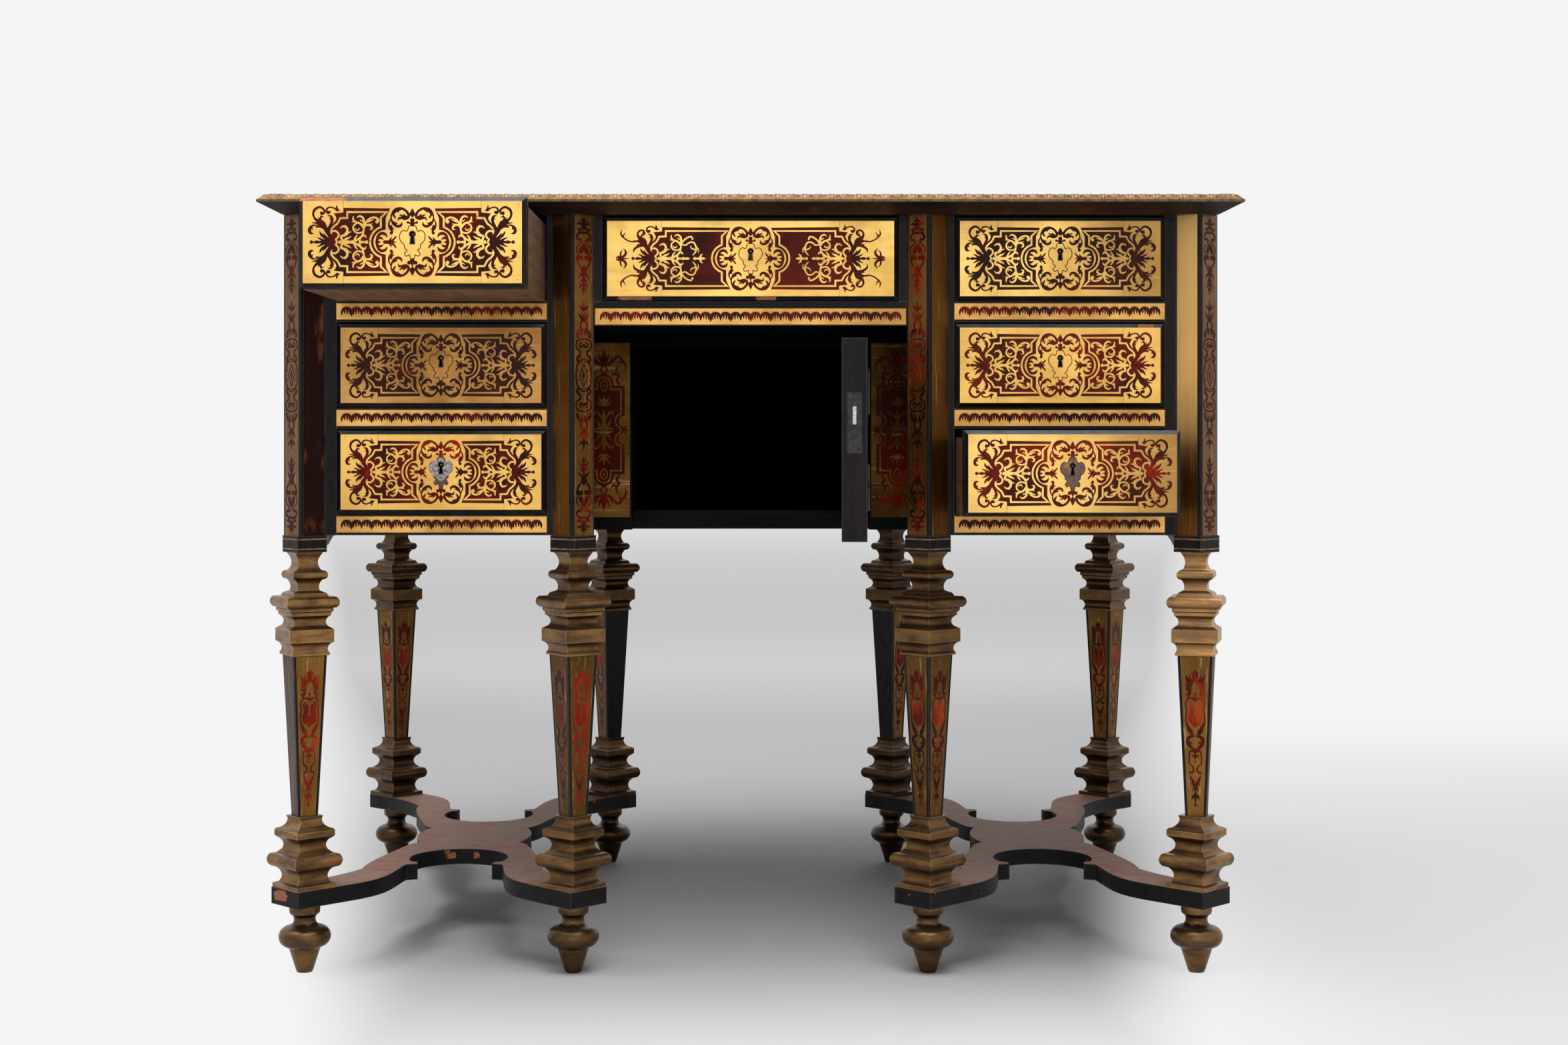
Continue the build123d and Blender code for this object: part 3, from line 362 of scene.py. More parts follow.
class Finishes(dict):
    """Every finish on the desk, made when it is first asked for."""

    def __init__(self):
        super().__init__()
        self.patina, self.wear = patina_group(), wear_and_highlight_group()
        self.dust, self.grain = dust_and_shade_group(), grain_group()

    def __missing__(self, name):
        material = self[name] = bpy.data.materials.new(name)
        material.use_nodes = True
        w = Wiring(material.node_tree)
        where = w.add("TexCoord").outputs["Object"]
        for family, rows in ((self.brass, BRASSES), (self.shell, SHELLS), (self.speckled, SPECKLED),
                             (self.wood, WOODS)):
            if name in rows:
                surface = family(w, where, *rows[name])
                break
        else:
            surface = getattr(self, name)(w, where)
        shader = w.tree.nodes["Principled BSDF"]
        for key, value in surface.items():
            w.join(value, shader.inputs[key.replace("_", " ")])
        return material

    def brass(self, w, where, lit, dim, streak, roughness, blotch, shade=None, *shade_at):
        old = w.group(self.patina, Vector=where, Streak=streak, Blotch_Scale=blotch)
        colour = w.coats(lit, (w.part(old["Tarnish"], 0.75), dim))
        if shade:
            colour = w.coats(colour, (w.within(where, *shade_at), shade))
        return {"Base_Color": w.coats(colour, (w.part(old["Scratch"], 0.35), (255, 226, 150))),
                "Metallic": 1, "Roughness": w.ramp(old["Tarnish"], 0, 1, roughness, roughness + 0.18),
                "Normal": w.bump(old["Height"], 0.35, 0.0004)}

    def shell(self, w, where, dark, red, bright, low, high, gloss=0.1):
        cloud = w.noise(where, 16, 5, 0.6, 0.8)
        fleck = w.noise(where, 110, 4, 0.65)
        hot = w.ramp(w.sum(cloud, w.part(fleck, 0.18)), high + 0.1, high + 0.2)
        colour = w.coats(dark, (w.ramp(cloud, low, high), red), (hot, bright),
                         (w.ramp(fleck, 0.5, 0.75, 0, 0.45), dark))
        return {"Base_Color": colour, "Roughness": 0.32, "Specular_IOR_Level": gloss,
                "Normal": w.bump(fleck, 0.12, 0.0004)}

    def speckled(self, w, where, first, second, noise, span, stretch, roughness, metal=0, relief=None):
        specks = w.noise(w.stretched(where, stretch) if stretch else where, *noise)
        surface = {"Base_Color": w.coats(first, (w.ramp(specks, *span), second)),
                   "Roughness": roughness, "Metallic": metal}
        return {**surface, "Normal": w.bump(specks, *relief)} if relief else surface

    def fibres(self, w, where, stretch, scale, dark, light):
        """Wood grain, and the colour of its figure."""
        fibre = w.group(self.grain, Vector=where, Stretch=stretch, Scale=scale)
        return fibre, w.coats(dark, (fibre["Figure"], light))

    def wood(self, w, where, stretch, scale, dark, light, roughness, relief, gloss=0.5,
             filled=0, pore_colour=None):
        fibre, colour = self.fibres(w, where, stretch, scale, dark, light)
        if filled:
            colour = w.coats(colour, (w.part(fibre["Pores"], filled), pore_colour))
        return {"Base_Color": colour, "Roughness": roughness, "Specular_IOR_Level": gloss,
                "Normal": w.bump(fibre["Pores"], *relief)}

    def aged(self, w, where, dust, wear):
        """Settings for the dusty coat, dirt and painted shade (scale, reach, level), and for the arrises,
        rubbed and on the gilding highlit (radius, scale, amount).
        """
        scale, reach, level = dust
        radius, breakup, amount = wear
        return (w.group(self.dust, Vector=where, Scale=scale, Reach=reach, Level=level),
                w.group(self.wear, Vector=where, Radius=radius, Breakup_Scale=breakup, Amount=amount))

    def gilt_bronze(self, w, where):
        age_and_shade, arris = self.aged(w, where, (70, 0.0022, 0.15), (0.0008, 90, 0.75))
        # painted highlight on the arrises, partly rubbed gilding, and painted shade in the hollows of the
        # relief, partly dirt
        colour = w.coats((118, 88, 56), (w.ramp(w.noise(where, 120, 5), 0.35, 0.65), (80, 57, 36)),
                         (w.part(arris["Wear And Highlight"], 0.5), (190, 156, 110)), (age_and_shade["Dirt And Shade"], (48, 32, 24)))
        return {"Base_Color": colour, "Metallic": 0.75, "Roughness": 0.46,
                "Normal": w.bump(w.noise(where, 500, 4), 0.4, 0.0006)}

    def ebony(self, w, where):
        fibre, colour = self.fibres(w, where, STANDING, 10, (10, 9, 9), (36, 31, 29))
        up_sheen, arris = self.aged(w, where, (60, 0.004, 0.15), (0.0022, 55, 0.62))
        chip = w.ramp(w.noise(where, 34, 6, 0.6), 0.66, 0.71)
        # painted reflection: a grey-blue sheen on what faces up, such as the top bevels
        colour = w.coats(colour, (w.part(fibre["Pores"], 0.5), (58, 51, 48)),
                         (w.part(up_sheen["Dust And Sheen"], 0.5), (122, 126, 134)),
                         (w.part(arris["Wear And Highlight"], 0.55), (104, 102, 104)),
                         (w.part(arris["Wear And Highlight"], chip), (186, 112, 70)))
        return {"Base_Color": colour, "Roughness": w.ramp(fibre["Figure"], 0, 1, 0.3, 0.46),
                "Specular_IOR_Level": 0.13, "Normal": w.bump(fibre["Pores"], 0.3, 0.0005)}

    def back_wood(self, w, where):
        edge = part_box("back_panels")[1][1]
        outside = w.along(where, "Y", edge - 0.002, edge - 0.001)
        fibre, colour = self.fibres(w, where, STANDING, 7, (26, 21, 19), (56, 44, 38))
        colour = w.coats(colour, (w.part(fibre["Pores"], 0.6), (16, 13, 12)))
        # painted shade: the inner face is near-black and matt
        return {"Base_Color": w.coats((6, 5, 5), (outside, colour)),
                "Roughness": w.ramp(outside, 0, 1, 0.9, 0.55),
                "Specular_IOR_Level": w.part(outside, 0.2),
                "Normal": w.bump(fibre["Pores"], 0.4, 0.0006)}

    def recess_wood(self, w, where):
        # painted shade: darker and duller towards the top of the frame
        shade_above = w.along(where, "Z", 0.52, 0.6)
        fibre, colour = self.fibres(w, where, LYING, 8, (8, 7, 7), (26, 25, 25))
        return {"Base_Color": w.coats(colour, (shade_above, (10, 9, 9))),
                "Roughness": w.ramp(shade_above, 0, 1, 0.45, 0.8), "Specular_IOR_Level": 0.05,
                "Normal": w.bump(fibre["Pores"], 0.4, 0.0006)}

    def top_underside(self, w, where):
        fibre, colour = self.fibres(w, where, LYING, 7, (22, 17, 15), (50, 30, 22))
        blush = w.ramp(w.noise(where, 26, 5), 0.6, 0.74, 0, 0.7)
        return {"Base_Color": w.coats(colour, (blush, (92, 40, 24))), "Roughness": 0.5,
                "Specular_IOR_Level": 0.2, "Normal": w.bump(fibre["Pores"], 0.3, 0.0005)}

    def gilt_wood(self, w, where):
        age_and_shade, arris = self.aged(w, where, (55, 0.014, 0.66), (0.0014, 120, 0.72))
        fine = w.noise(w.stretched(where, (1, 1, 5)), 190, 6, 0.75)
        soft = w.noise(w.stretched(where, (1, 1, 2.6)), 34, 5, 0.6, 0.4)
        # painted highlight on the arrises, partly rubbed gilding; painted shade in the hollows, partly dirt,
        # and on what faces down; a dusty coat on what faces up
        colour = w.coats((156, 116, 70), (w.ramp(soft, 0.32, 0.7), (96, 72, 50)),
                         (w.ramp(fine, 0.5, 0.68, 0, 0.4), (78, 54, 38)),
                         (w.part(arris["Wear And Highlight"], 0.6), (226, 184, 118)),
                         (w.ramp(age_and_shade["Dirt And Shade"], 0.1, 0.8, 0, 0.95), (36, 24, 17)),
                         (w.part(age_and_shade["Underside Shade"], 0.6), (48, 32, 20)),
                         (w.part(age_and_shade["Dust And Sheen"], 0.85), (122, 108, 100)))
        # painted light and shade over the legs, by place
        for shade, *shade_at in GILDING_LIGHT_AND_SHADE:
            colour = w.coats(colour, (w.within(where, *shade_at), shade))
        return {"Base_Color": colour,
                "Metallic": w.sum(0.95, w.part(age_and_shade["Dust And Sheen"], 0.6), "SUBTRACT", True),
                "Roughness": w.ramp(fine, 0.3, 0.7, 0.26, 0.44), "Normal": w.bump(fine, 0.14, 0.0004)}

    def stretcher_veneer(self, w, where):
        age_and_shade, arris = self.aged(w, where, (30, 0.006, 0.15), (0.002, 55, 0.6))
        patch = w.noise(where, 20, 6, 0.65, 0.5)
        fibre = w.noise(w.stretched(where, (0.3, 3.2, 3.2)), 150, 6, 0.7)
        veneer = w.coats((190, 146, 126), (w.ramp(patch, 0.54, 0.64), (202, 106, 90)),
                         (w.ramp(patch, 0.44, 0.34, 0, 0.6), (136, 110, 94)),
                         (w.ramp(fibre, 0.5, 0.62, 0, 0.75), (120, 86, 70)),
                         (w.ramp(fibre, 0.5, 0.36, 0, 0.5), (200, 166, 144)))
        black = w.coats((9, 8, 9), (w.ramp(w.noise(where, 90, 5), 0.35, 0.7), (24, 22, 22)),
                        (w.part(arris["Wear And Highlight"], 0.5), (112, 100, 96)),
                        (w.ramp(w.noise(where, 52, 6, 0.62), 0.65, 0.68), (176, 104, 56)))
        colour = w.coats(black, (w.ramp(w.facing_up(), 0.4, 0.6), veneer),
                         (w.part(age_and_shade["Dust And Sheen"], 0.25), (166, 146, 132)))
        return {"Base_Color": colour, "Roughness": 0.6, "Specular_IOR_Level": 0.2,
                "Normal": w.bump(fibre, 0.3, 0.0008)}

    def bare_wood(self, w, where):
        fibre = w.group(self.grain, Vector=where, Stretch=(16, 16, 1), Scale=8)
        patch = w.ramp(w.noise(w.stretched(where, (2, 2, 1)), 16, 6, 0.62), 0.5, 0.64)
        colour = w.coats((28, 12, 8), (patch, (172, 92, 56)), (w.part(fibre["Figure"], 0.4), (70, 30, 20)))
        return {"Base_Color": colour, "Roughness": 0.55, "Specular_IOR_Level": 0.12,
                "Normal": w.bump(fibre["Pores"], 0.3, 0.0005)}

    def old_glue(self, w, where):
        spots = w.noise(where, 260, 5, 0.65)
        colour = w.coats((142, 104, 88), (w.ramp(spots, 0.42, 0.6), (104, 88, 84)),
                         (w.ramp(w.noise(where, 90, 4), 0.6, 0.7), (190, 130, 96)))
        return {"Base_Color": colour, "Roughness": 0.7, "Normal": w.bump(spots, 0.4, 0.0006)}

    def iron(self, w, where):
        rust = w.ramp(w.noise(where, 70, 6), 0.5, 0.7)
        return {"Base_Color": w.coats((112, 108, 104), (rust, (74, 58, 48))), "Metallic": 0.8,
                "Roughness": w.ramp(rust, 0, 1, 0.4, 0.7),
                "Normal": w.bump(w.noise(where, 300, 4), 0.3, 0.0005)}


@functools.cache
def finishes():
    return Finishes()


# ---------------------------------------------------------------- cutting marquetry
def smoothed(points, spans=4):
    """Points along a smooth line through the given ones."""
    ends = [points[0], *points, points[-1]]
    line = []
    for a, b, c, d in zip(ends, ends[1:], ends[2:], ends[3:]):
        for k in range(spans):
            t = k / spans
            line.append(tuple(
                0.5 * (2 * q + (r - p) * t + (2 * p - 5 * q + 4 * r - s) * t * t
                       + (3 * q - p - 3 * r + s) * t ** 3)
                for p, q, r, s in zip(a, b, c, d)))
    return line + [tuple(points[-1])]


def arc(centre, radius, start, end, steps=10):
    turns = [math.radians(start + (end - start) * k / steps) for k in range(steps + 1)]
    return [(centre[0] + radius * math.cos(turn), centre[1] + radius * math.sin(turn)) for turn in turns]


def flipped(points, u=-1, v=1):
    """The same points mirrored, from the last to the first."""
    return [(u * p[0], v * p[1]) for p in reversed(points)]


def turned_area(points):
    """Twice the area inside a loop, less than nothing where it runs clockwise."""
    return sum(a[0] * b[1] - b[0] * a[1] for a, b in zip(points, points[1:] + points[:1]))


class Cutting:
    """Flat pieces of one marquetry panel, in millimetres: u runs right and v runs up."""

    def __init__(self, finish="shell", sides=ONE_SIDE):
        self.finish, self.sides, self.shift, self.scale = finish, sides, (0, 0), 1
        self.pieces = []

    def cut(self, loop, faces, outer=None):
        """Keeps one piece for each mirror. Points after the outer ones go round a hole."""
        outer = outer or len(loop)
        for su, sv in self.sides:
            points = [(su * (u * self.scale + self.shift[0]), sv * (v * self.scale + self.shift[1]))
                      for u, v in loop]
            backward = turned_area(points[:outer]) < 0
            turned = [tuple(reversed(f)) for f in faces] if backward else list(faces)
            rims = [list(range(outer)), list(range(outer, len(loop)))]
            rims = [rim[::-1] if backward else rim for rim in rims if rim]
            self.pieces.append((self.finish, points, turned, rims))
        return self

    def strokes(self, *rows):
        """Tapering strokes, each a row of u, v and width at every point; a row of one point is a dot."""
        for row in rows:
            if len(row) == 3:
                self.dot(row[:2], row[2])
            else:
                self.sweep(list(zip(row[::3], row[1::3])), row[2::3])

    def sweep(self, points, widths):
        """A tapering stroke along a smooth line, with round or pointed ends."""
        fuller = STROKE_GAIN.get(self.finish, 1)
        line = smoothed([(*p, max(w * fuller, FINEST)) for p, w in zip(points, widths)])
        self.ribbon([p[:2] for p in line], [max(p[2], FINEST) for p in line])

    def line(self, points, width):
        """A strap of one width with mitred corners."""
        self.ribbon(points, [width] * len(points), caps=False)

    def ribbon(self, line, widths, caps=True):
        left, right = [], []
        for k, (here, width) in enumerate(zip(line, widths)):
            back, ahead = line[max(k - 1, 0)], line[min(k + 1, len(line) - 1)]
            into = Vector((here[0] - back[0], here[1] - back[1]))
            out = Vector((ahead[0] - here[0], ahead[1] - here[1]))
            into = into.normalized() if into.length > 1e-6 else out.normalized()
            out = out.normalized() if out.length > 1e-6 else into
            along = into + out
            along = along.normalized() if along.length > 1e-3 else into
            reach = width / 2 / max(along.dot(out), 0.5)
            side = Vector((-along.y, along.x)) * reach
            left.append((here[0] + side.x, here[1] + side.y))
            right.append((here[0] - side.x, here[1] - side.y))
        tip = self.cap(line[-2], line[-1], widths[-1]) if caps else []
        root = self.cap(line[1], line[0], widths[0]) if caps else []
        n = len(left)
        loop = right + tip + left[::-1] + root
        last = 2 * n + len(tip) - 1
        faces = [(k, k + 1, last - 1 - k, last - k) for k in range(n - 1)]
        if tip:
            faces.append(tuple(range(n - 1, n + len(tip) + 1)))
        if root:
            faces.append((*range(last, len(loop)), 0))
        self.cut(loop, faces)

    @staticmethod
    def cap(before, end, width):
        if width < POINTED:
            return []
        turn = math.atan2(end[1] - before[1], end[0] - before[0])
        return [(end[0] + width / 2 * math.cos(turn + a), end[1] + width / 2 * math.sin(turn + a))
                for a in (-math.pi / 4, 0, math.pi / 4)]

    def dot(self, centre, radius):
        loop = arc(centre, radius, 0, 330, 11)
        self.cut(loop, [tuple(range(len(loop)))])

    def fill(self, points, hole=()):
        """A piece of any outline, perhaps with a hole through it."""
        if hole and turned_area(hole) * turned_area(points) > 0:
            hole = hole[::-1]
        loops = [points, hole] if hole else [points]
        every = [*points, *hole]
        faces = []
        for f in tessellate_polygon([[Vector((*p, 0)) for p in loop] for loop in loops]):
            same_way = turned_area([every[k] for k in f]) * turned_area(points) > 0
            faces.append(tuple(f) if same_way else tuple(reversed(f)))
        return self.cut(every, faces, len(points))

    def like(self, finish=None, sides=None, shift=None, scale=None):
        """The same panel, with what follows cut in another finish, place or mirror."""
        self.finish = finish or self.finish
        self.sides = sides or self.sides
        self.shift = self.shift if shift is None else shift
        self.scale = scale or self.scale
        return self


def hang(name, points, faces, slots, body, slot, looks=None, row=None):
    """Makes a mesh, sets it in a row if asked (count, step, look) and hangs it on its body."""
    mesh = bpy.data.meshes.new(name)
    mesh.from_pydata(points, [], faces)
    for look in slots:
        mesh.materials.append(finishes()[look])
    if looks:
        mesh.polygons.foreach_set("material_index", looks)
    else:
        mesh.polygons.foreach_set("use_smooth", [True] * len(mesh.polygons))
    mesh.validate()
    made = bpy.data.objects.new(name, mesh)
    bpy.context.scene.collection.objects.link(made)
    if row:
        repeat_along(made, *row)
    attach(made, body)


class Inlay:
    """One finished mesh of cut pieces, laid on any number of faces of one body."""

    def __init__(self, name):
        self.name, self.points, self.faces, self.looks, self.slots = name, [], [], [], []

    def lay(self, cutting, place, looks=None):
        """place(u, v, h) gives the point in metres; looks renames finishes for this face."""
        for layer, (finish, points, faces, rims) in zip(self.layers(cutting.pieces), cutting.pieces):
            finish = (looks or {}).get(finish, finish)
            if finish not in self.slots:
                self.slots.append(finish)
            high = TILE_RISE + layer * TILE_STEP
            first, n = len(self.points), len(points)
            self.points += [place(u, v, h) for h in (high, -TILE_DEPTH) for u, v in points]
            made = [tuple(first + k for k in f) for f in faces]
            made += [tuple(first + n + k for k in reversed(f)) for f in faces]
            made += [(first + a, first + n + a, first + n + b, first + b)
                     for rim in rims for a, b in zip(rim, rim[1:] + rim[:1])]
            self.faces += made
            self.looks += [self.slots.index(finish)] * len(made)
        return self

    @staticmethod
    def layers(pieces):
        """One layer for each piece, above every earlier piece that its bounds touch."""
        boxes, found = [], []
        for _, points, _, _ in pieces:
            us, vs = [p[0] for p in points], [p[1] for p in points]
            a = (min(us), max(us), min(vs), max(vs))
            under = [layer for b, layer in zip(boxes, found)
                     if b[0] <= a[1] and a[0] <= b[1] and b[2] <= a[3] and a[2] <= b[3]]
            boxes.append(a)
            found.append(1 + max(under, default=-1))
        return found

    def finish(self, body, slot="marquetry_brass", row=None):
        hang(self.name, self.points, self.faces, self.slots, body, slot, self.looks, row)


def on_plane(origin, right, up=UP):
    """place() for a flat panel: origin in metres, with directions of u and v."""
    out = right.cross(up)
    return lambda u, v, h: origin + (right * u + up * v + out * h) * MM


def raised(place, by):
    """The same place(), lifted off its surface by so many millimetres."""
    return lambda u, v, h: place(u, v, h + by)


def compass(degrees):
    """The level direction at this angle from the desk's right."""
    angle = math.radians(degrees)
    return Vector((math.cos(angle), math.sin(angle), 0))


def front_panel(node):
    """place() for a panel that faces the front, its u and v from the node's middle."""
    low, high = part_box(node)
    return on_plane(Vector(((low[0] + high[0]) / 2, low[1], (low[2] + high[2]) / 2)), RIGHTWARD)


def repeat_tree():
    """A row of copies: the piece itself, set again and again by one step."""
    tree = bpy.data.node_groups.new("Row", "GeometryNodeTree")
    for label, kind in (("Geometry", "Geometry"), ("Count", "Int"), ("Step", "Vector"),
                        ("Finish", "Material")):
        tree.interface.new_socket(label, in_out="INPUT", socket_type="NodeSocket" + kind)
    tree.interface.new_socket("Geometry", in_out="OUTPUT", socket_type="NodeSocketGeometry")
    given = tree.nodes.new("NodeGroupInput").outputs
    result = tree.nodes.new("NodeGroupOutput").inputs
    line, copies, real, painted = (tree.nodes.new("GeometryNode" + kind) for kind in (
        "MeshLine", "InstanceOnPoints", "RealizeInstances", "SetMaterial"))
    for source, target in ((given["Count"], line.inputs["Count"]), (given["Step"], line.inputs["Offset"]),
                           (line.outputs[0], copies.inputs["Points"]),
                           (given["Geometry"], copies.inputs["Instance"]),
                           (copies.outputs[0], real.inputs[0]), (real.outputs[0], painted.inputs[0]),
                           (given["Finish"], painted.inputs["Material"]),
                           (painted.outputs[0], result["Geometry"])):
        tree.links.new(source, target)
    return tree


def repeat_along(unit, count, step, look):
    """Sets copies of a finished unit in a row and makes them one plain mesh."""
    tree = bpy.data.node_groups.get("Row") or repeat_tree()
    row = unit.modifiers.new("Row", "NODES")
    row.node_group = tree
    ids = {item.name: item.identifier for item in tree.interface.items_tree if item.in_out == "INPUT"}
    row[ids["Count"]], row[ids["Step"]], row[ids["Finish"]] = count, step, finishes()[look]
    scene = bpy.context.evaluated_depsgraph_get()
    mesh = bpy.data.meshes.new_from_object(unit.evaluated_get(scene))
    unit.modifiers.clear()
    unit.data = mesh


# ---------------------------------------------------------------- the drawer design
def shell_panel(c, shift):
    """One of the two shell panels beside the medallion, with its brass line."""
    side = smoothed([(-75, 3.9), (-77.7, 8.5), (-77.7, 12.1), (-76.2, 15.4), (-73, 18.2),
                     (-70.9, 21.6), (-71.4, 23.9), (-73.4, 26.7)])
    upper = [(u + shift, v) for u, v in [(-74.5, 0), *side, (-64.4, 27.7), (-64.4, 32)]]
    upper += [(-20.6, 31.4), (-24.8, 22.2), (-24.8, 11.4), *arc((-24.8, 0), 11.4, 96, 180)]
    c.like("shell", SIDES2, (0, 0)).fill(upper + flipped(upper[1:-1], 1, -1))
    curl = smoothed([(-75.1, 6.2), (-76, 9), (-75.1, 12.1), (-73, 14.7), (-70, 17.2),
                     (-68.2, 20.3), (-67.2, 22.3)])
    run = [(u + shift, v) for u, v in [*curl, (-60.6, 22.5), (-60.6, 28)]]
    run += [(-23.9, 28), (-29.3, 22.9), (-29.3, 13.9), *arc((-24.8, 0), 14.6, 108, 180)]
    c.like("brass", SIDES4).line(run, 1.8)


def end_spray(c, shift):
    """Leaves and scrolls in shell that grow out of each end of a panel."""
    c.like("shell", SIDES2, (shift, 0))
    c.strokes((-72, 0, 4.5, -77, 0, 5, -82.4, 0, 3, -86.4, 0, 1.8, -89.4, 0, 2.6, -92.2, 0, 0.8), (-94, 0, 1.7))
    c.like(sides=SIDES4)
    c.strokes(
        (-77, 1.3, 2, -82.9, 1.6, 2, -86.2, 3.3, 1.3, -88.7, 4.3, 0.5),
        (-74.5, 2.1, 2.5, -79.7, 3.4, 2.2, -83.7, 5.9, 2.3, -85.7, 8.3, 1.5, -86.3, 10, 0.5),
        (-79, 3.2, 2, -81.4, 5.7, 1.5, -82.9, 8.3, 0.5), (-83.4, 15.2, 3, -88.9, 17.5, 1.7, -93.8, 18.1, 0.4),
        (-81.4, 12.6, 2.8, -85.4, 14.3, 1.5, -89.7, 13.9, 1.1),
        (-85.7, 18.8, 2.2, -86.8, 21.3, 1.2, -87.8, 23.2, 0.4),
        (-84.7, 18.8, 2.5, -85.7, 21.6, 1.7, -84.7, 23.9, 1.5, -82.3, 22.9, 0.4),
        (-75, 3.9, 3.5, -78, 8, 3.1, -77.7, 12.6, 2.5, -75.5, 17.2, 2.2, -74.6, 21.1, 2.2, -76, 24.1, 1.8,
         -79, 24.6, 0.4), (-75, 20, 1.8, -76.2, 21.6, 1.1, -77.5, 22.1, 0.4))


def pedestal_ends(c, shift):
    """What finishes the end spray of a narrow drawer: C-scrolls, curls and corner sprigs."""
    c.like("shell", SIDES4, (shift, 0))
    c.strokes(
        (-73.5, 3.4, 3.5, -77, 6.5, 3.1, -79.5, 9.8, 3.1, -81.2, 13.6, 3.3, -83.4, 17.2, 4, -86.2, 19, 3.7,
         -88.9, 20.3, 2.5, -91.3, 22.8, 1.7, -92.3, 26.2, 1.8, -91.4, 29.5, 2.1, -89.2, 31.6, 2,
         -86.2, 32.6, 1.8, -83.4, 31.3, 1.7, -81.8, 29, 1.7, -82.7, 26.8, 1.7, -84.7, 26.4, 2.2),
        (-84.5, 27.2, 1.5),
        (-86.9, 14.8, 0.8, -91.4, 15.8, 1.2, -94.7, 13.9, 2.2, -95.9, 10.8, 2.6, -94.7, 8.3, 2,
         -91.8, 8.1, 0.4), (-93.9, 13.6, 1.7, -92.9, 11.3, 0.4))
    corner_sprig(c)
    c.strokes((-81.8, 29.2, 0.6, -79.9, 29.4, 0.6))


def corner_sprig(c):
    """A curl and a leaf at the corner of a shell panel."""
    c.strokes(
        (-77.2, 27.9, 2, -78.5, 27.3, 2.3, -80, 29, 1.5, -79.2, 31.4, 1.4, -76.5, 32.5, 1.2, -73, 31.7, 1.2,
         -70, 29.9, 2.3), (-78, 28, 1.3), (-70, 30, 2.2, -70.6, 33.9, 0.8), (-70, 30.3, 2.2, -67.9, 29.5, 0.8))


def centre_ends(c, shift):
    """What finishes the end spray of the wide drawer: long tendrils and a lone palmette."""
    c.like("shell", SIDES4, (shift, 0))
    c.strokes(
        (-73.5, 3.4, 3.5, -77, 6.5, 3.1, -79.5, 9.8, 3.1, -81.2, 13.6, 3.3, -82.4, 17.5, 3.6, -84.8, 19.6, 3,
         -89.5, 17.8, 1.6, -96, 17.2, 1.2, -102, 20, 1.2, -106.2, 24.6, 1.5, -105.6, 29.4, 0.5),
        (-104, 23, 1.4, -101.6, 26.6, 0.5),
        (-83.6, 18, 2.8, -87.8, 21, 2.4, -89.2, 25.4, 1.7, -86.6, 28.6, 1.6, -83, 28, 1.7, -82.2, 25.2, 1.8),
        (-83.4, 25.6, 1.4))
    corner_sprig(c)
    c.strokes(
        (-83, 13.4, 2.4, -88, 12.6, 2.2, -92.6, 9.6, 1.8, -93.2, 6, 0.5),
        (-106.5, 1.2, 1.8, -102.6, 3, 2.2, -101.2, 6.6, 1.8, -103.8, 10.4, 0.4),
        (-107, 2, 1.6, -106.4, 6.2, 1.3, -104.4, 8.6, 0.4),
        (-106.5, 0.6, 2, -109.5, 1.4, 1.8, -111.4, 0.2, 0.4))
    c.like(sides=SIDES2)
    c.strokes((-98, 0, 0.4, -108, 0, 2.2))


def field_scrolls(c, shift):
    """Brass scrolls and leaves on the shell."""
    c.like("brass", SIDES4, (shift, 0))
    c.strokes(
        (-75.5, 9.5, 1.6, -72.5, 10.5, 1.8, -69.6, 9, 1.8, -68.6, 6.5, 1.8, -69.7, 3.9, 1.7, -71.4, 2.6, 1.5,
         -70.5, 0.8, 1.7, -70.4, 0, 1.8),
        (-65, 1.4, 2, -66.4, 5.2, 2, -63.5, 6.5, 2.2, -61.1, 9, 2.4, -60.6, 12.1, 2.2, -62.5, 14.3, 1.8,
         -65, 14.6, 1.5, -67, 13, 0.7), (-60.7, 12.6, 2, -61.7, 14.4, 1.5, -63, 15.9, 0.4),
        (-64.5, 6, 2.5, -61.5, 6.9, 1.7, -59.2, 9, 1.3, -56.7, 9.5, 0.5),
        (-64, 1.6, 1.5, -61, 3.4, 2, -59.2, 3.9, 1.5, -57, 5.7, 0.5),
        (-54.3, 1.1, 1.5, -53.3, 3.7, 1.7, -52, 5.7, 1.3, -50.9, 6.7, 0.5),
        (-55.7, 0.1, 1.5, -51, 2.3, 1.7, -47, 5.3, 1.7, -44.3, 6.1, 1.7, -43, 3.9, 0.5),
        (-45.2, 13.6, 2.5, -48.3, 17, 2, -52, 18.5, 1.7, -56.4, 19, 0.5),
        (-52.5, 18.6, 1.5, -54.8, 20.5, 1.7, -55.1, 23.6, 1),
        (-45.3, 15.2, 1.7, -45, 18.8, 2.2, -45.8, 22.1, 2, -47.8, 23.9, 1.8, -49.8, 24.1, 1.5,
         -51.7, 22.8, 0.6), (-45.5, 19.8, 1.5, -47.5, 19.8, 1, -49, 21.2, 0.4),
        (-46.1, 9.8, 1.3, -49, 8.5, 1.5, -52.5, 9, 1.6, -54.9, 11.8, 1.7, -54.6, 15.2, 1.5, -52.5, 17.1, 1.2,
         -50.8, 17.5, 0.5), (-49.4, 13, 0.7, -50.5, 11.2, 1.2, -52.6, 11.6, 1, -53.2, 13, 0.4),
        (-47, 0, 2, -49.3, 1.3, 1.5, -47.5, 3.4, 0.4))
    c.like(sides=SIDES2)
    c.strokes(
        (-67.4, 0, 1.5, -65, 0, 2.6, -61, 0, 3.6, -56.7, 0, 2), (-67.4, 0, 1.7),
        (-42.8, 0, 1.5, -46, 0, 2, -48.5, 0, 3), (-42.7, 0, 1.6))


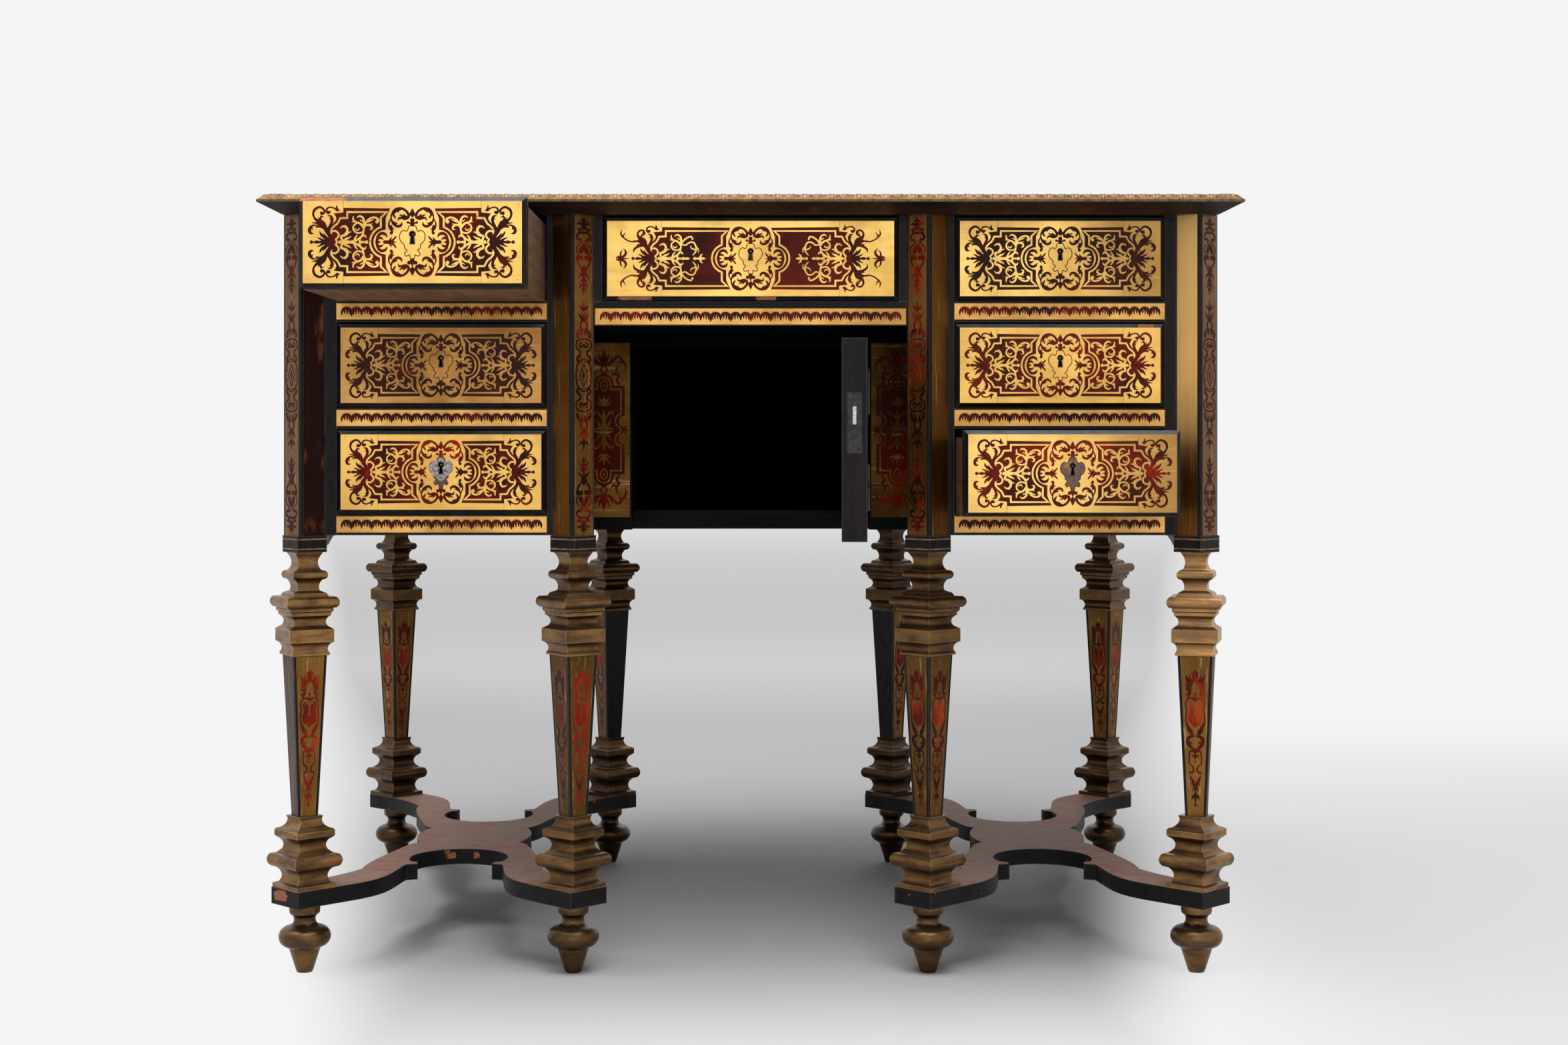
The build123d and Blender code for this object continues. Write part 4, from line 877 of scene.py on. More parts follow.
def pedestal_arms(c, shift):
    """The long arms of a narrow drawer's scrolls, ending in volutes near the medallion."""
    c.like("brass", SIDES4, (shift, 0))
    c.strokes(
        (-57.5, 0, 2.5, -52.5, 1.5, 2, -49, 3.9, 1.8, -46.4, 6.7, 1.7, -45.4, 10.6, 1.7, -44.8, 14.4, 1.6,
         -42.6, 19.2, 1.6, -39.2, 22.1, 1.7, -35.4, 23, 1.7, -32.6, 21.9, 2, -31.6, 19.8, 2.1, -33, 18.3, 2.1),
        (-32.9, 19, 1.6), (-41.4, 19.1, 1.9, -38.3, 20.3, 1.1, -36.1, 21, 0.4),
        (-45, 12.7, 0.8, -43.3, 15.6, 1.7, -40, 15.9, 2.1, -37.7, 13.9, 1.9, -38, 11.9, 1.3, -40, 11.7, 0.5),
        (-40.5, 16.1, 1.6, -37.1, 17.2, 0.4))


def centre_arms(c, shift):
    """The arms of the wide drawer, which close round a small fleur."""
    c.like("brass", SIDES4, (shift, 0))
    c.strokes(
        (-57.5, 0, 2.5, -52.5, 1.5, 2, -49, 3.9, 1.8, -46.4, 6.7, 1.7, -45.4, 10.6, 1.7, -44.8, 14.4, 1.6,
         -42.6, 18.2, 1.6, -38.4, 21.4, 1.7, -34.8, 22.2, 1.6, -33.4, 19.8, 1.8),
        (-44.6, 14.6, 1.2, -40.6, 13.6, 1.4, -37.2, 16, 1.5, -33, 16.6, 1.6, -30.2, 13, 1.6, -30, 7.6, 1.5,
         -33, 3.6, 1), (-31, 9, 1.4, -34.4, 10.4, 1.2, -35.6, 13, 0.4),
        (-30.4, 12.4, 1.4, -27.6, 9.4, 1.2, -27.8, 5.6, 0.4), (-25.8, 0.6, 1.8, -25, 3, 1.8, -23.2, 4.6, 0.6))
    c.like(sides=SIDES2)
    c.strokes(
        (-31, 0, 1.2, -27, 0, 2.4, -24, 0, 3, -20.6, 0, 1.2), (-31.2, 0, 1.5),
        (-42.7, 0, 1.4, -38.6, 0, 2.6, -36.6, 0, 0.8))


def medallion(c):
    """Scrolls, buds and sprays round the keyhole, and the line of its shield."""
    for sides in (SIDES4[:2], SIDES4[2:]):
        c.like("shell", sides, (0, 0))
        c.strokes(
            (-17.5, 16.6, 1.9, -19.7, 20.5, 1.1, -19.3, 25.4, 1.4, -16, 29.6, 2.9, -11.3, 31.4, 2.1,
             -7.2, 30.1, 1.9, -4.5, 27.4, 2, -3.5, 24.4, 2.1, -5.3, 22.1, 1.4),
            (-19.7, 22, 1.1, -18.7, 18.8, 1.6, -16.3, 16.1, 2.3, -13.2, 14.6, 2.1, -10.4, 15.9, 1.9,
             -9.7, 18.5, 0.5), (-18, 18.3, 2.1, -15.8, 17.7, 1.4, -13.4, 17.5, 0.4),
            (-15.6, 29.1, 2.9, -17.7, 26.7, 1.9, -16.6, 23.7, 1.5, -15, 22.2, 0.4),
            (-11.3, 30.8, 2.1, -13.2, 29.3, 1.7, -13.3, 27.6, 0.7),
            (-3.8, 23.2, 2.4, -6.5, 21.8, 2.2, -9.6, 22.4, 1.9, -12.3, 22.4, 1.6, -13.4, 20, 0.5),
            (-7.2, 22.7, 1.9, -10.3, 24.9, 1.4, -12.6, 25.5, 0.4),
            (-6, 23.5, 1.9, -7.7, 25.2, 1.2, -8.5, 26.5, 0.4),
            (-20.3, 21.5, 0.8, -21.9, 17.6, 1.2, -21.4, 13.9, 1.7, -19.4, 11.2, 1.9, -18.5, 9.2, 1.2),
            (-19.6, 8.4, 1.5), (-19.9, 15.1, 1.7, -18.7, 12.7, 1.4, -16.6, 11.9, 0.4),
            (0, 24.9, 3, 0, 27.4, 3.6, 0, 31.4, 0.4), (-3.6, 26.2, 1.6, 0, 25.2, 2.2),
            (-21.8, 0.6, 1.9, -20.3, 2.6, 1.4, -19.3, 4.4, 0.5),
            (-20.4, 0.2, 1.9, -17.5, 2.4, 1.6, -15.2, 5.1, 1.1),
            (-23.6, 4.7, 0.7, -25.1, 7.2, 2.1, -28.3, 8.2, 2.4, -31.3, 6.5, 2.2, -32.7, 3.4, 1.9, -33, 0, 2.7),
            (-32.1, 3.4, 1.9, -29.5, 3.9, 1.9, -26.8, 2.1, 0.4))
    c.like("shell", SIDES2, (0, 0))
    c.strokes(
        (-21.3, 0, 2.2, -18, 0, 1.7, -15.5, 0, 0.7), (-25.7, 0, 2.9, -21.3, 0, 2.7),
        (-32.3, 0, 2.4, -29.2, 0, 0.4), (0, 20.3, 1.9, 0, 16.4, 3.3), (0, 20.3, 2.1), (-4, 18.3, 1.3),
        (-3.8, 18.2, 1, 0, 17.2, 2), (0, -17.2, 3.8, 0, -23, 0.7), (-3, -19.2, 1.9))
    c.line(smoothed(SHIELD, 3), 0.85)


# right half of the shield's outline round the keyhole
SHIELD = [(0, 15.8), (2.8, 15.1), (4, 12.4), (4.6, 10.6), (6, 10), (7.9, 11), (10.8, 9.2), (12, 4.8),
          (10.7, 0.7), (7.6, -2.5), (7.3, -5.6), (4.9, -7.5), (6.5, -9.4), (7.2, -11.4), (5.5, -13.1),
          (2.5, -12), (2, -14.8), (0, -17.3)]


def sheet_seams(c, half_w, half_h, seam):
    """Hairlines where the brass sheets meet, and the pins at their corners."""
    c.like("line", SIDES4, (0, 0)).line([(-seam, 32), (-seam + 0.4, half_h)], 0.28)
    c.like("line", SIDES4[::3])
    c.strokes((-half_w + 4, half_h - 3.2, 0.45), (half_w - 3.4, half_h - 4.2, 0.4))


def drawer_design(wide):
    """The design of a drawer's facing; the middle drawer has the wide one."""
    c = Cutting()
    shift, half_w, seam = (-25.7, 146.1, 91) if wide else (0, 102.1, 64.4)
    shell_panel(c, shift)
    end_spray(c, shift)
    (centre_ends if wide else pedestal_ends)(c, shift)
    field_scrolls(c, shift)
    (centre_arms if wide else pedestal_arms)(c, shift)
    medallion(c)
    sheet_seams(c, half_w, 38.3, seam)
    return c


# ---------------------------------------------------------------- the other designs
def post_design():
    """The long upright design of a corner post, from its middle; the lower half mirrors the upper."""
    c = Cutting("shell", SIDES4)
    c.strokes(
        (0, 147.2, 1.6, 0, 152, 3.4, 0, 156, 4.4, 0, 160.4, 0.8),
        (0, 153.5, 2, 2.2, 156.5, 1.8, 4.2, 157.6, 0.5),
        (0, 151.5, 2.2, 3.6, 153.4, 2, 6.6, 154.2, 1.9, 9.2, 153, 0.5),
        (0, 150.5, 2, 3.6, 149, 1.9, 6.4, 147.4, 2.2, 9, 149, 0.5))
    # a lyre
    c.strokes(
        (0, 144, 1.8, 3.4, 145.3, 2.2, 7.2, 143.4, 2.3, 9.2, 140.2, 2.2, 7.6, 137.6, 2, 5.6, 137.9, 1.6),
        (5.9, 138, 1.6), (4, 138.2, 1.6, 4.8, 134, 1.4, 9, 129.8, 1.5, 9.7, 125.6, 1.5, 7, 122.6, 1.2))
    c.fill([(0, 125.5), (2.8, 123.4), (5.4, 122.4), (7.2, 126), (5.6, 129), (2.6, 133),
            (2, 138), (1, 138), (0.8, 134), (0, 132)])
    c.strokes(
        (1.4, 119.4, 3.6, 5, 119.6, 4.2, 8.2, 119, 4.6),
        (8.6, 116.6, 2.2, 6.6, 112.4, 2.2, 4.2, 109.6, 1.8, 3, 104.8, 1.4),
        (0, 113, 1.6, 0, 108, 4.6, 0, 101.5, 3, 0, 95, 3.6), (0, 103, 1.8, 4.2, 101.8, 2.4, 7.2, 97.5, 0.5),
        (0, 97.4, 2, 3, 95.6, 1.8, 4.8, 93, 0.4), (0, 92, 1.6, 3.6, 91.4, 2, 6.4, 87.6, 0.5),
        (0, 95, 3, 0, 88, 2.6, 0, 81.8, 0.6), (0, 89, 1.6, 2, 87, 1.5, 3.4, 85, 0.4))
    # palmettes over the strapwork
    c.strokes(
        (0, 66.5, 3.4, 0, 70.5, 2.6, 0, 76, 0.5), (0, 67.5, 2.4, 3.4, 68.2, 2.4, 6.2, 71.6, 0.5),
        (0, 55.8, 2, 3.6, 58.4, 2.4, 6.9, 63.4, 0.8), (0, 56.5, 1.2, 1.4, 60.5, 1.6, 2.4, 64.5, 0.6),
        (0, 55.4, 1.6, 3.4, 54, 2, 4.4, 50.6, 2, 3.6, 47, 1.6))
    c.fill([(0, 36.8), (5.4, 38.4), (9.4, 37.6), (10.6, 41.6), (7.2, 46.4), (3.2, 48), (0, 47)])
    c.strokes((0, 36.6, 1, 3.4, 36.6, 1.6, 8.6, 34.8, 1.8, 10.2, 29.6, 1.8, 8.4, 26.2, 1.8, 5, 24.8, 1.8))
    c.fill([(0, 29), (2.6, 27), (6.6, 28.2), (6.4, 32.4), (2.2, 34.2), (0, 32)])
    c.strokes(
        (5, 24.8, 2.2, 4.4, 20.6, 2.4, 7.6, 18.4, 2.6, 9, 15.6, 2.2, 6, 13.8, 1.6),
        (0, 15.5, 3.2, 3.6, 15, 3, 7.4, 14, 2.4), (7, 12.6, 2.2, 9.6, 8, 1.7, 10.4, 0, 1.6))
    c.line([(0, 11.5), (5.4, 0)], 1.4)
    c.strokes((0, 0, 3, 0, 5.4, 0.5), (7.6, 5.2, 1.1))
    # brass laid over the shell
    c.like("brass")
    c.strokes(
        (0, 126.5, 1.3, 0, 119, 1.8, 0, 112.6, 2.6), (0, 122.6, 1.4, 2.4, 122, 1.4, 4, 123.6, 0.5),
        (0, 114.6, 1.4, 3, 114.8, 1.3, 6, 117.4, 0.5), (0, 37.8, 1.6, 0, 42, 2.6, 0, 46.8, 0.6),
        (0, 38.4, 1.6, 3.2, 40.4, 1.8, 5.6, 44, 0.5), (0, 38.2, 1.4, 4.6, 39, 1.6, 8.2, 41.8, 0.5),
        (0, 33, 1.2, 2.6, 31.6, 1.3, 4.8, 29.6, 0.4), (0, 14, 1.4, 2.4, 15.6, 1, 5.6, 14.8, 0.4))
    return c


def shaft_design():
    """The design on each face of a leg's shaft, from its top downwards."""
    c = Cutting("ground", ONE_SIDE)
    c.fill([(-14.9, -0.5), (-7.8, -162.9), (7.8, -162.9), (14.9, -0.5)])
    c.like("shell", SIDES2)
    # palmette round an open brass egg
    c.strokes(
        (0, -25, 3, 0, -19, 4.4, 0, -13.6, 0.8), (1.4, -22, 2, 2.4, -18.4, 1.6, 3.4, -15.2, 0.4),
        (0.4, -24.2, 2.2, 3.8, -26.4, 3.2, 5.4, -31, 3, 5.4, -37, 2.6, 7.2, -41.6, 1.6))
    for u, v, tip_u, tip_v, width in ((3.4, -25, 5.4, -18.6, 2.2), (4.4, -26.4, 9.6, -18.8, 3.4),
                                      (5.4, -28.4, 9.2, -23.4, 2), (5.6, -31.4, 9.4, -27.4, 3),
                                      (5.4, -35, 9.4, -31.6, 2.6), (5.8, -38.4, 9.8, -37.4, 2.2)):
        c.sweep([(u, v), ((u + tip_u) / 2 + 0.6, (v + tip_v) / 2 - 0.8), (tip_u, tip_v)],
                (width, width * 0.8, 0.4))
    c.like(sides=ONE_SIDE)
    c.strokes((0, -38.4, 1.5))
    c.like(sides=SIDES2)
    c.strokes((0, -38.6, 0.9, 0, -43, 1.2))
    # shield
    c.strokes(
        (0, -44.6, 2.4, 3.6, -42.6, 1.7, 7.6, -44, 1.4, 9.6, -48.6, 1.3, 8.6, -54.4, 1.4, 9.2, -60, 1.2,
         9.2, -67.4, 1.2))
    c.like("vivid").fill([(0, -47.4), (3.4, -46.2), (6.6, -46.6), (7.4, -50), (6, -55.4), (5.9, -57.6),
                          (7.4, -59.6), (7.4, -66), (5.4, -68.6), (2, -70.6), (0, -73.4)])
    c.like("shell")
    c.strokes(
        (9.2, -67, 1.2, 6.9, -72.4, 3, 5.2, -77.4, 2.6, 1.8, -81.8, 1.4),
        (6.4, -73.4, 2, 3.4, -76, 1.6, 2.2, -79.2, 0.4),
        (1.4, -81.4, 1.6, 6.2, -82.8, 2.8, 7.6, -86.6, 3, 6, -90.6, 3, 1.6, -95.6, 2.4),
        (6.6, -88.4, 2, 3.8, -88, 1.4, 2.6, -90, 0.4), (0, -93.4, 1, 0, -98, 2.4))
    # open strap with a small fleur in it
    c.strokes(
        (0.6, -97, 1.8, 5.2, -97, 1.5, 5.9, -100.4, 1.3, 6.2, -104.6, 1.2, 5.7, -109.4, 1.3, 2.6, -112.6, 1.5,
         1.7, -116, 1.7, 3.4, -118.6, 1.8, 5.2, -118.2, 1.4, 5.4, -120.6, 0.5),
        (0, -98.6, 1.4, 0, -102, 2.6, 0, -104.6, 1.2), (0.6, -102.4, 1.6, 2.4, -101, 1.6, 3.6, -102.6, 0.6))
    c.like(sides=ONE_SIDE)
    c.strokes((0, -107.4, 1.1))
    c.like(sides=SIDES2)
    c.strokes(
        (5.2, -121.4, 0.5, 4, -125, 2, 2, -128.6, 2.4, 0.4, -134, 3),
        (2.4, -127.6, 1.6, 3.4, -130, 1.4, 4.8, -131.2, 0.4), (0.8, -133, 1.6, 2, -135.6, 1.3, 2.6, -138, 0.4),
        (0, -133, 3.2, 0, -138, 1.2, 0, -142, 3.4, 0, -147.6, 1.2, 0, -150, 1),
        (0.4, -142.6, 2, 2.6, -142.8, 2, 3.6, -146.4, 0.6))
    c.like(sides=ONE_SIDE)
    c.strokes((0, -151.6, 1.5))
    # brass laid over the shield
    c.like("ground", SIDES2)
    c.strokes(
        (0, -46.6, 1, 0, -49.4, 2.2, 0, -53, 0.9, 0, -55.4, 1, 0, -59.6, 1.8),
        (0.4, -49.4, 1.2, 2, -48, 1.2, 4.2, -48.2, 1.2, 5, -50.4, 0.4))
    c.line([(1, -74.6), (3.4, -70.2), (6.2, -69)], 0.7)
    return c


def flank_design():
    """The upright panel beside the cupboard: a notched field of bright shell with sprays."""
    c = Cutting("shell", ONE_SIDE)
    notch = smoothed([(22.6, 15.5), (18.4, 14.2), (16.2, 10.5), (17.4, 6), (20.6, 3.6), (21.4, 0)])
    corner = [*arc((0, 50), 10.6, 90, 0), (10.6, 48), (22.6, 48), *notch]
    right = corner + flipped(corner[:-1], 1, -1)
    c.fill(right + flipped(right))
    run = [*arc((0, 49.6), 7.4, 90, 0), (7.4, 44), (18.6, 44), (18.6, 17.4)]
    run += smoothed([(18.6, 17.4), (14.4, 15.4), (12.4, 10.6), (13.6, 5.6), (17.2, 3), (18.4, 0)])[1:]
    c.like("vivid")
    inner = run + flipped(run[:-1], 1, -1)
    c.fill(inner + flipped(inner))
    c.like("brass", SIDES4).line(run, 1.7)
    c.strokes(
        (0, 2, 4, 0, 12, 4.4, 0, 22, 0.6), (1, 0.8, 3, 6, 2, 2.4, 10.6, 0.6, 0.5),
        (1.6, 2, 2.4, 5.6, 6.6, 2.2, 7.4, 11.6, 0.5),
        (1.4, 12, 1.8, 4.2, 16, 1.8, 7.4, 19.6, 1.7, 9.6, 19, 1.6, 9.2, 16.6, 0.8),
        (0, 25.6, 1.4, 0, 31, 3, 0, 37.4, 0.6), (0, 27, 1.6, 3, 31, 2, 5.6, 36, 0.5),
        (0, 26.6, 1.4, 4.4, 27.6, 1.8, 7.4, 31.2, 0.5),
        (0, 42, 1.4, 3.2, 45.4, 1.4, 3.6, 50, 1.3, 0, 53.4, 1.3), (0, 48, 1.4))
    c.like("shell")
    c.strokes(
        (0, 71, 3.4, 0, 79, 4.4, 0, 87.4, 0.6), (0.6, 72, 2.6, 4, 77.4, 2.6, 5.8, 83.4, 0.5),
        (1, 71, 2.6, 6.4, 71.6, 2.4, 10.6, 75.6, 2.4, 14.4, 79.4, 2.4, 18.2, 78.2, 2, 18.6, 74.4, 1.7,
         16.4, 72.4, 1.6), (6, 72, 2, 8.4, 76.4, 1.8, 8.8, 81, 0.4),
        (17.6, 77.6, 2.2, 21.6, 73.2, 2.2, 24, 67.4, 1.8, 23, 63.6, 0.6), (21.4, 73.4, 1.8, 24.6, 73.8, 0.4),
        (16.4, 49.6, 2, 14, 54, 2.2, 16.4, 58.2, 2.2, 13.2, 62.4, 2, 14.6, 67.6, 1.6, 18.2, 69.4, 0.5),
        (14, 60.4, 2, 9.8, 60.2, 1.8, 8.2, 63.6, 0.5),
        (0, 60.6, 1.6, 2.8, 63, 1.4, 2.8, 66.8, 1.4, 0, 69.6, 1.6),
        (21, 1.4, 1.8, 23.6, 3.8, 1.4, 25.6, 5.4, 0.4), (20.4, 0.6, 1.8, 24, 0.6, 1.8, 26.8, 0.2, 0.5))
    return c


def corner_spray(c, half_w, half_h, size):
    """Leaf scrolls that fill the four corners of a framed panel."""
    c.like("shell", SIDES4, (half_w, half_h), size)
    c.strokes(
        (-2, -2, 3.6, -8, -6, 3.2, -16, -7, 2.8, -22, -3, 2.4, -21, 2, 2.2, -17, 2.6, 2, -16, -0.6, 2.4),
        (-2, -2, 3.6, -6, -8, 3.2, -7, -16, 2.8, -3, -22, 2.4, 2, -21, 2.2, 2.6, -17, 2, -0.6, -16, 2.4),
        (-4, -4, 3.4, -11, -11, 4, -17, -17, 0.6), (-9, -8, 2.4, -14, -9.6, 2.2, -18, -12.6, 0.5),
        (-8, -9, 2.4, -9.6, -14, 2.2, -12.6, -18, 0.5), (-12, -6.8, 2, -15, -3, 1.8, -14.6, 1, 0.5),
        (-6.8, -12, 2, -3, -15, 1.8, 1, -14.6, 0.5))


# right half of a palmette between scrolls, springing up from a line: u, v and width at every point
CREST = ((0, 1, 2.2, 0, 5, 2), (0, 5, 2.4, 0, 10, 3.6, 0, 16, 0.5),
         (0.8, 5.6, 2, 3.6, 9.6, 2.4, 5.2, 13.8, 0.5), (1, 4.8, 1.8, 5, 6.8, 2, 8.2, 10.2, 0.5),
         (1.4, 3, 2, 6.4, 2.2, 2, 10.8, 4.2, 2.2, 13.6, 8, 2.2, 12.6, 11.4, 1.9, 9.8, 11, 1.7, 9.8, 9, 1.5),
         (12.6, 5.4, 1.8, 16.4, 2.8, 1.6, 20, 2.2, 1.3), (15.6, 3.2, 1.6, 17.2, 6.2, 1.7, 16.4, 9.4, 0.4))


def crest(c, at, size, way=-1, sideways=False):
    """A palmette between scrolls at one place and at its mirrored places; way -1 points inward."""
    c.like("shell", tuple(s for s in SIDES4 if (at[0] or s[0] > 0) and (at[1] or s[1] > 0)), at, size)
    for row in CREST:
        for side in (1, -1) if row[-3] else (1,):
            line = [(side * u, way * v) for u, v in zip(row[::3], row[1::3])]
            c.sweep([p[::-1] for p in line] if sideways else line, row[2::3])


def framed_design(half_w, half_h, size, crests, wide=False):
    """A large panel: the drawer design enlarged, in a ruled frame with corner sprays and crests."""
    c = Cutting()
    for finish, inset, width in (("shell", 9, 7), ("brass", 9, 1.6), ("shell", 16, 0.8)):
        inset, width = inset * size, width * size
        c.like(finish)
        u, v = half_w - inset, half_h - inset
        c.fill(*([(-u - a, -v - a), (u + a, -v - a), (u + a, v + a), (-u - a, v + a)]
                 for a in (width / 2, -width / 2)))
    corner_spray(c, half_w - 26 * size, half_h - 26 * size, size)
    for place in crests:
        crest(c, *place)
    for finish, points, faces, rims in drawer_design(wide).pieces:
        if finish != "line":
            c.pieces.append((finish, [(u * size, v * size) for u, v in points], faces, rims))
    return c


def scallop_pair():
    """Two scallops with a pendant leaf between them, for the rails."""
    c = Cutting("shell", SIDES2)
    c.strokes(
        (-10, -3.6, 0.6, -9.9, -0.6, 2, -8.4, 2.4, 2.1, -5.4, 3.7, 2.2, -2.2, 2.8, 2.2, -0.4, 0.2, 2.6),
        (-7.6, 2, 2, -6.9, -0.2, 1.5, -7.7, -2.4, 0.4), (-5, 2.6, 2, -4.2, -0.2, 1.6, -5.1, -3, 0.4),
        (-2.3, 1.6, 1.8, -1.8, -1, 1.5, -2.7, -3.4, 0.4), (0, 0.8, 2.6, 0, -2.4, 2.3, 0, -4.9, 0.6))
    c.like("line")
    c.line([(-10.1, 1.8), (-8.6, 4.6), (-5.4, 5.9), (-2.2, 5.2), (0, 3.2)], 0.26)
    return c


# ---------------------------------------------------------------- stage
class BureauFinishSettings(bpy.types.PropertyGroup):
    """Sizes and colours of the dressed desk."""

    floor_colour: bpy.props.FloatVectorProperty(
        name="Floor", description="Colour of the studio floor", size=3, subtype="COLOR",
        default=(0.87, 0.87, 0.88))
    key_power: bpy.props.FloatProperty(
        name="Key Light", description="Power of the soft light above the front", default=56.0, min=0.0,
        unit="POWER")
    panel_power: bpy.props.FloatProperty(
        name="Front Panel", description="Power of the broad panel behind the viewer", default=23.0,
        min=0.0, unit="POWER")
    scallop_pitch: bpy.props.FloatProperty(
        name="Scallop Pitch", description="Length of one pair of scallops on the rails",
        default=0.0204, unit="LENGTH")
    leaf_pitch: bpy.props.FloatProperty(
        name="Leaf Pitch", description="Distance between leaves on the top's border",
        default=0.0135, unit="LENGTH")


def area_light(name, power, size, place, target):
    data = bpy.data.lights.new(name, "AREA")
    data.energy, data.shape = power, "RECTANGLE"
    data.size, data.size_y = size
    made = bpy.data.objects.new(name, data)
    made.location = place
    made.rotation_euler = (Vector(target) - Vector(place)).to_track_quat("-Z", "Y").to_euler()
    bpy.context.scene.collection.objects.link(made)


class BUREAU_OT_stage(bpy.types.Operator):
    """Sets the camera, the lights and the pale floor"""

    bl_idname = "bureau.stage"
    bl_label = "Stage"

    def execute(self, context):
        settings = context.scene.bureau
        camera = bpy.data.cameras.new("viewpoint")
        camera.lens, camera.sensor_width = 52.04, 36.0
        camera.shift_x, camera.shift_y = 0.0213, -0.0548
        eye = bpy.data.objects.new("viewpoint", camera)
        eye.location = EYE
        eye.rotation_euler = (math.pi / 2, 0.0, 0.0)
        context.scene.collection.objects.link(eye)
        context.scene.camera = eye
        area_light("key", settings.key_power, (2.6, 1.6), (-0.25, -0.5, 2.4), (0, 0, 0.4))
        area_light("panel", settings.panel_power, (3.4, 2.6), (0.0, -4.6, 1.5), (0, 0, 0.5))
        area_light("back", 9.0, (2.0, 1.6), (0.6, 3.2, 2.4), (0, 0, 0.5))
        self.light_room(context)
        self.lay_floor(settings)
        context.scene.view_settings.view_transform = "Standard"
        return {"FINISHED"}

    def light_room(self, context):
        world = bpy.data.worlds.new("room")
        world.use_nodes = True
        context.scene.world = world
        w = Wiring(world.node_tree)
        output = next(n for n in w.tree.nodes if n.type == "OUTPUT_WORLD")
        plain = next(n for n in w.tree.nodes if n.type == "BACKGROUND")
        plain.inputs["Color"].default_value = (0.93, 0.95, 1.0, 1.0)
        plain.inputs["Strength"].default_value = 0.08
        seen = w.add("Background", Color=ROOM_WHITE, Strength=1.0)
        both = w.add("MixShader", i0=w.in_view(), i1=plain.outputs[0], i2=seen.outputs[0])
        w.join(both.outputs[0], output.inputs["Surface"])

    def lay_floor(self, settings):
        """A round floor whose far part fades into the white of the room."""
        points = [(*arc((0, 0), ring, 0, 360, FLOOR_SPOKES)[k], FLOOR_Z)
                  for ring in FLOOR_RINGS for k in range(FLOOR_SPOKES)] + [(0.0, 0.0, FLOOR_Z)]
        steps = [(k, (k + 1) % FLOOR_SPOKES) for k in range(FLOOR_SPOKES)]
        faces = [(len(points) - 1, k, ahead) for k, ahead in steps]
        for at in range(0, (len(FLOOR_RINGS) - 1) * FLOOR_SPOKES, FLOOR_SPOKES):
            further = at + FLOOR_SPOKES
            faces += [(at + k, further + k, further + ahead, at + ahead) for k, ahead in steps]
        mesh = bpy.data.meshes.new("studio_floor")
        mesh.from_pydata(points, [], faces)
        floor = bpy.data.objects.new("studio_floor", mesh)
        bpy.context.scene.collection.objects.link(floor)
        mesh.materials.append(self.floor_paint(settings))

    @staticmethod
    def floor_paint(settings):
        material = bpy.data.materials.new("floor_paint")
        material.use_nodes = True
        w = Wiring(material.node_tree)
        shader = w.tree.nodes["Principled BSDF"]
        output = next(n for n in w.tree.nodes if n.type == "OUTPUT_MATERIAL")
        shader.inputs["Base Color"].default_value = (*settings.floor_colour, 1.0)
        shader.inputs["Roughness"].default_value = 0.7
        shader.inputs["Specular IOR Level"].default_value = 0.1
        where = w.add("SeparateXYZ", Vector=w.add("TexCoord").outputs["Object"]).outputs
        spread = w.part(w.sum(where["Y"], -EYE[1]), 0.345)
        beside = w.sum(w.sum(where["X"], 0, "ABSOLUTE"), spread, "DIVIDE")
        soft = w.part(w.ramp(where["X"], 0.3, 0.7), w.ramp(where["Y"], 2.0, 0.4, 0, 0.42))
        fade = w.part(w.ramp(beside, 0.41, 0.61), w.sum(1, soft, "SUBTRACT"))
        fade = w.sum(fade, w.ramp(where["Y"], -0.3, -0.8), "MAXIMUM")
        far = w.sum(w.ramp(where["Y"], 0.9, 3.0, 0, 0.51), w.ramp(where["Y"], 2.0, 20.0, 0, 0.49))
        fade = w.sum(fade, far, "MAXIMUM")
        white = w.add("Emission", Color=ROOM_WHITE, Strength=1.0)
        both = w.add("MixShader", i0=w.part(fade, w.in_view()), i1=shader.outputs[0], i2=white.outputs[0])
        w.join(both.outputs[0], output.inputs["Surface"])
        return material


# ---------------------------------------------------------------- finishes on the made pieces
# each finish and the pieces that take it and keep their own shape; a later line replaces an earlier one
DRESSED = (
    ("ebony", "front_posts back_posts front_stiles front_rails door_panel pedestal_sides side_aprons "
              "leg_collars top_panel leg_shafts *_front"),
    ("shadow_black", "cupboard_case"), ("back_wood", "back_panels"), ("recess_wood", "cupboard_frame"),
    ("top_underside", "top_board"),
    ("drawer_brass", "left_bottom_facing left_top_facing right_middle_facing centre_facing"),
    ("dim_brass", "left_middle_facing"), ("shaded_brass", "right_top_facing right_bottom_facing"),
    ("rail_brass", "rail_strips"), ("post_brass", "post_marquetry_slips"),
    ("slip_brass", "post_brass_slips"), ("shadowed_recess_brass", "flank_facings door_facing"),
    ("end_brass", "end_facings"), ("top_brass", "top_veneer"), ("gilt_bronze", "top_border"),
    ("gilt_wood", "upper_capitals lower_capitals feet"),
    ("stretcher_veneer", "left_stretcher right_stretcher"),
    ("walnut", "drawer_runners pedestal_floors *_box"), ("iron", "hinge_leaves door_hinge_wings *_lock"),
    ("black_iron", "door_lock"),
)


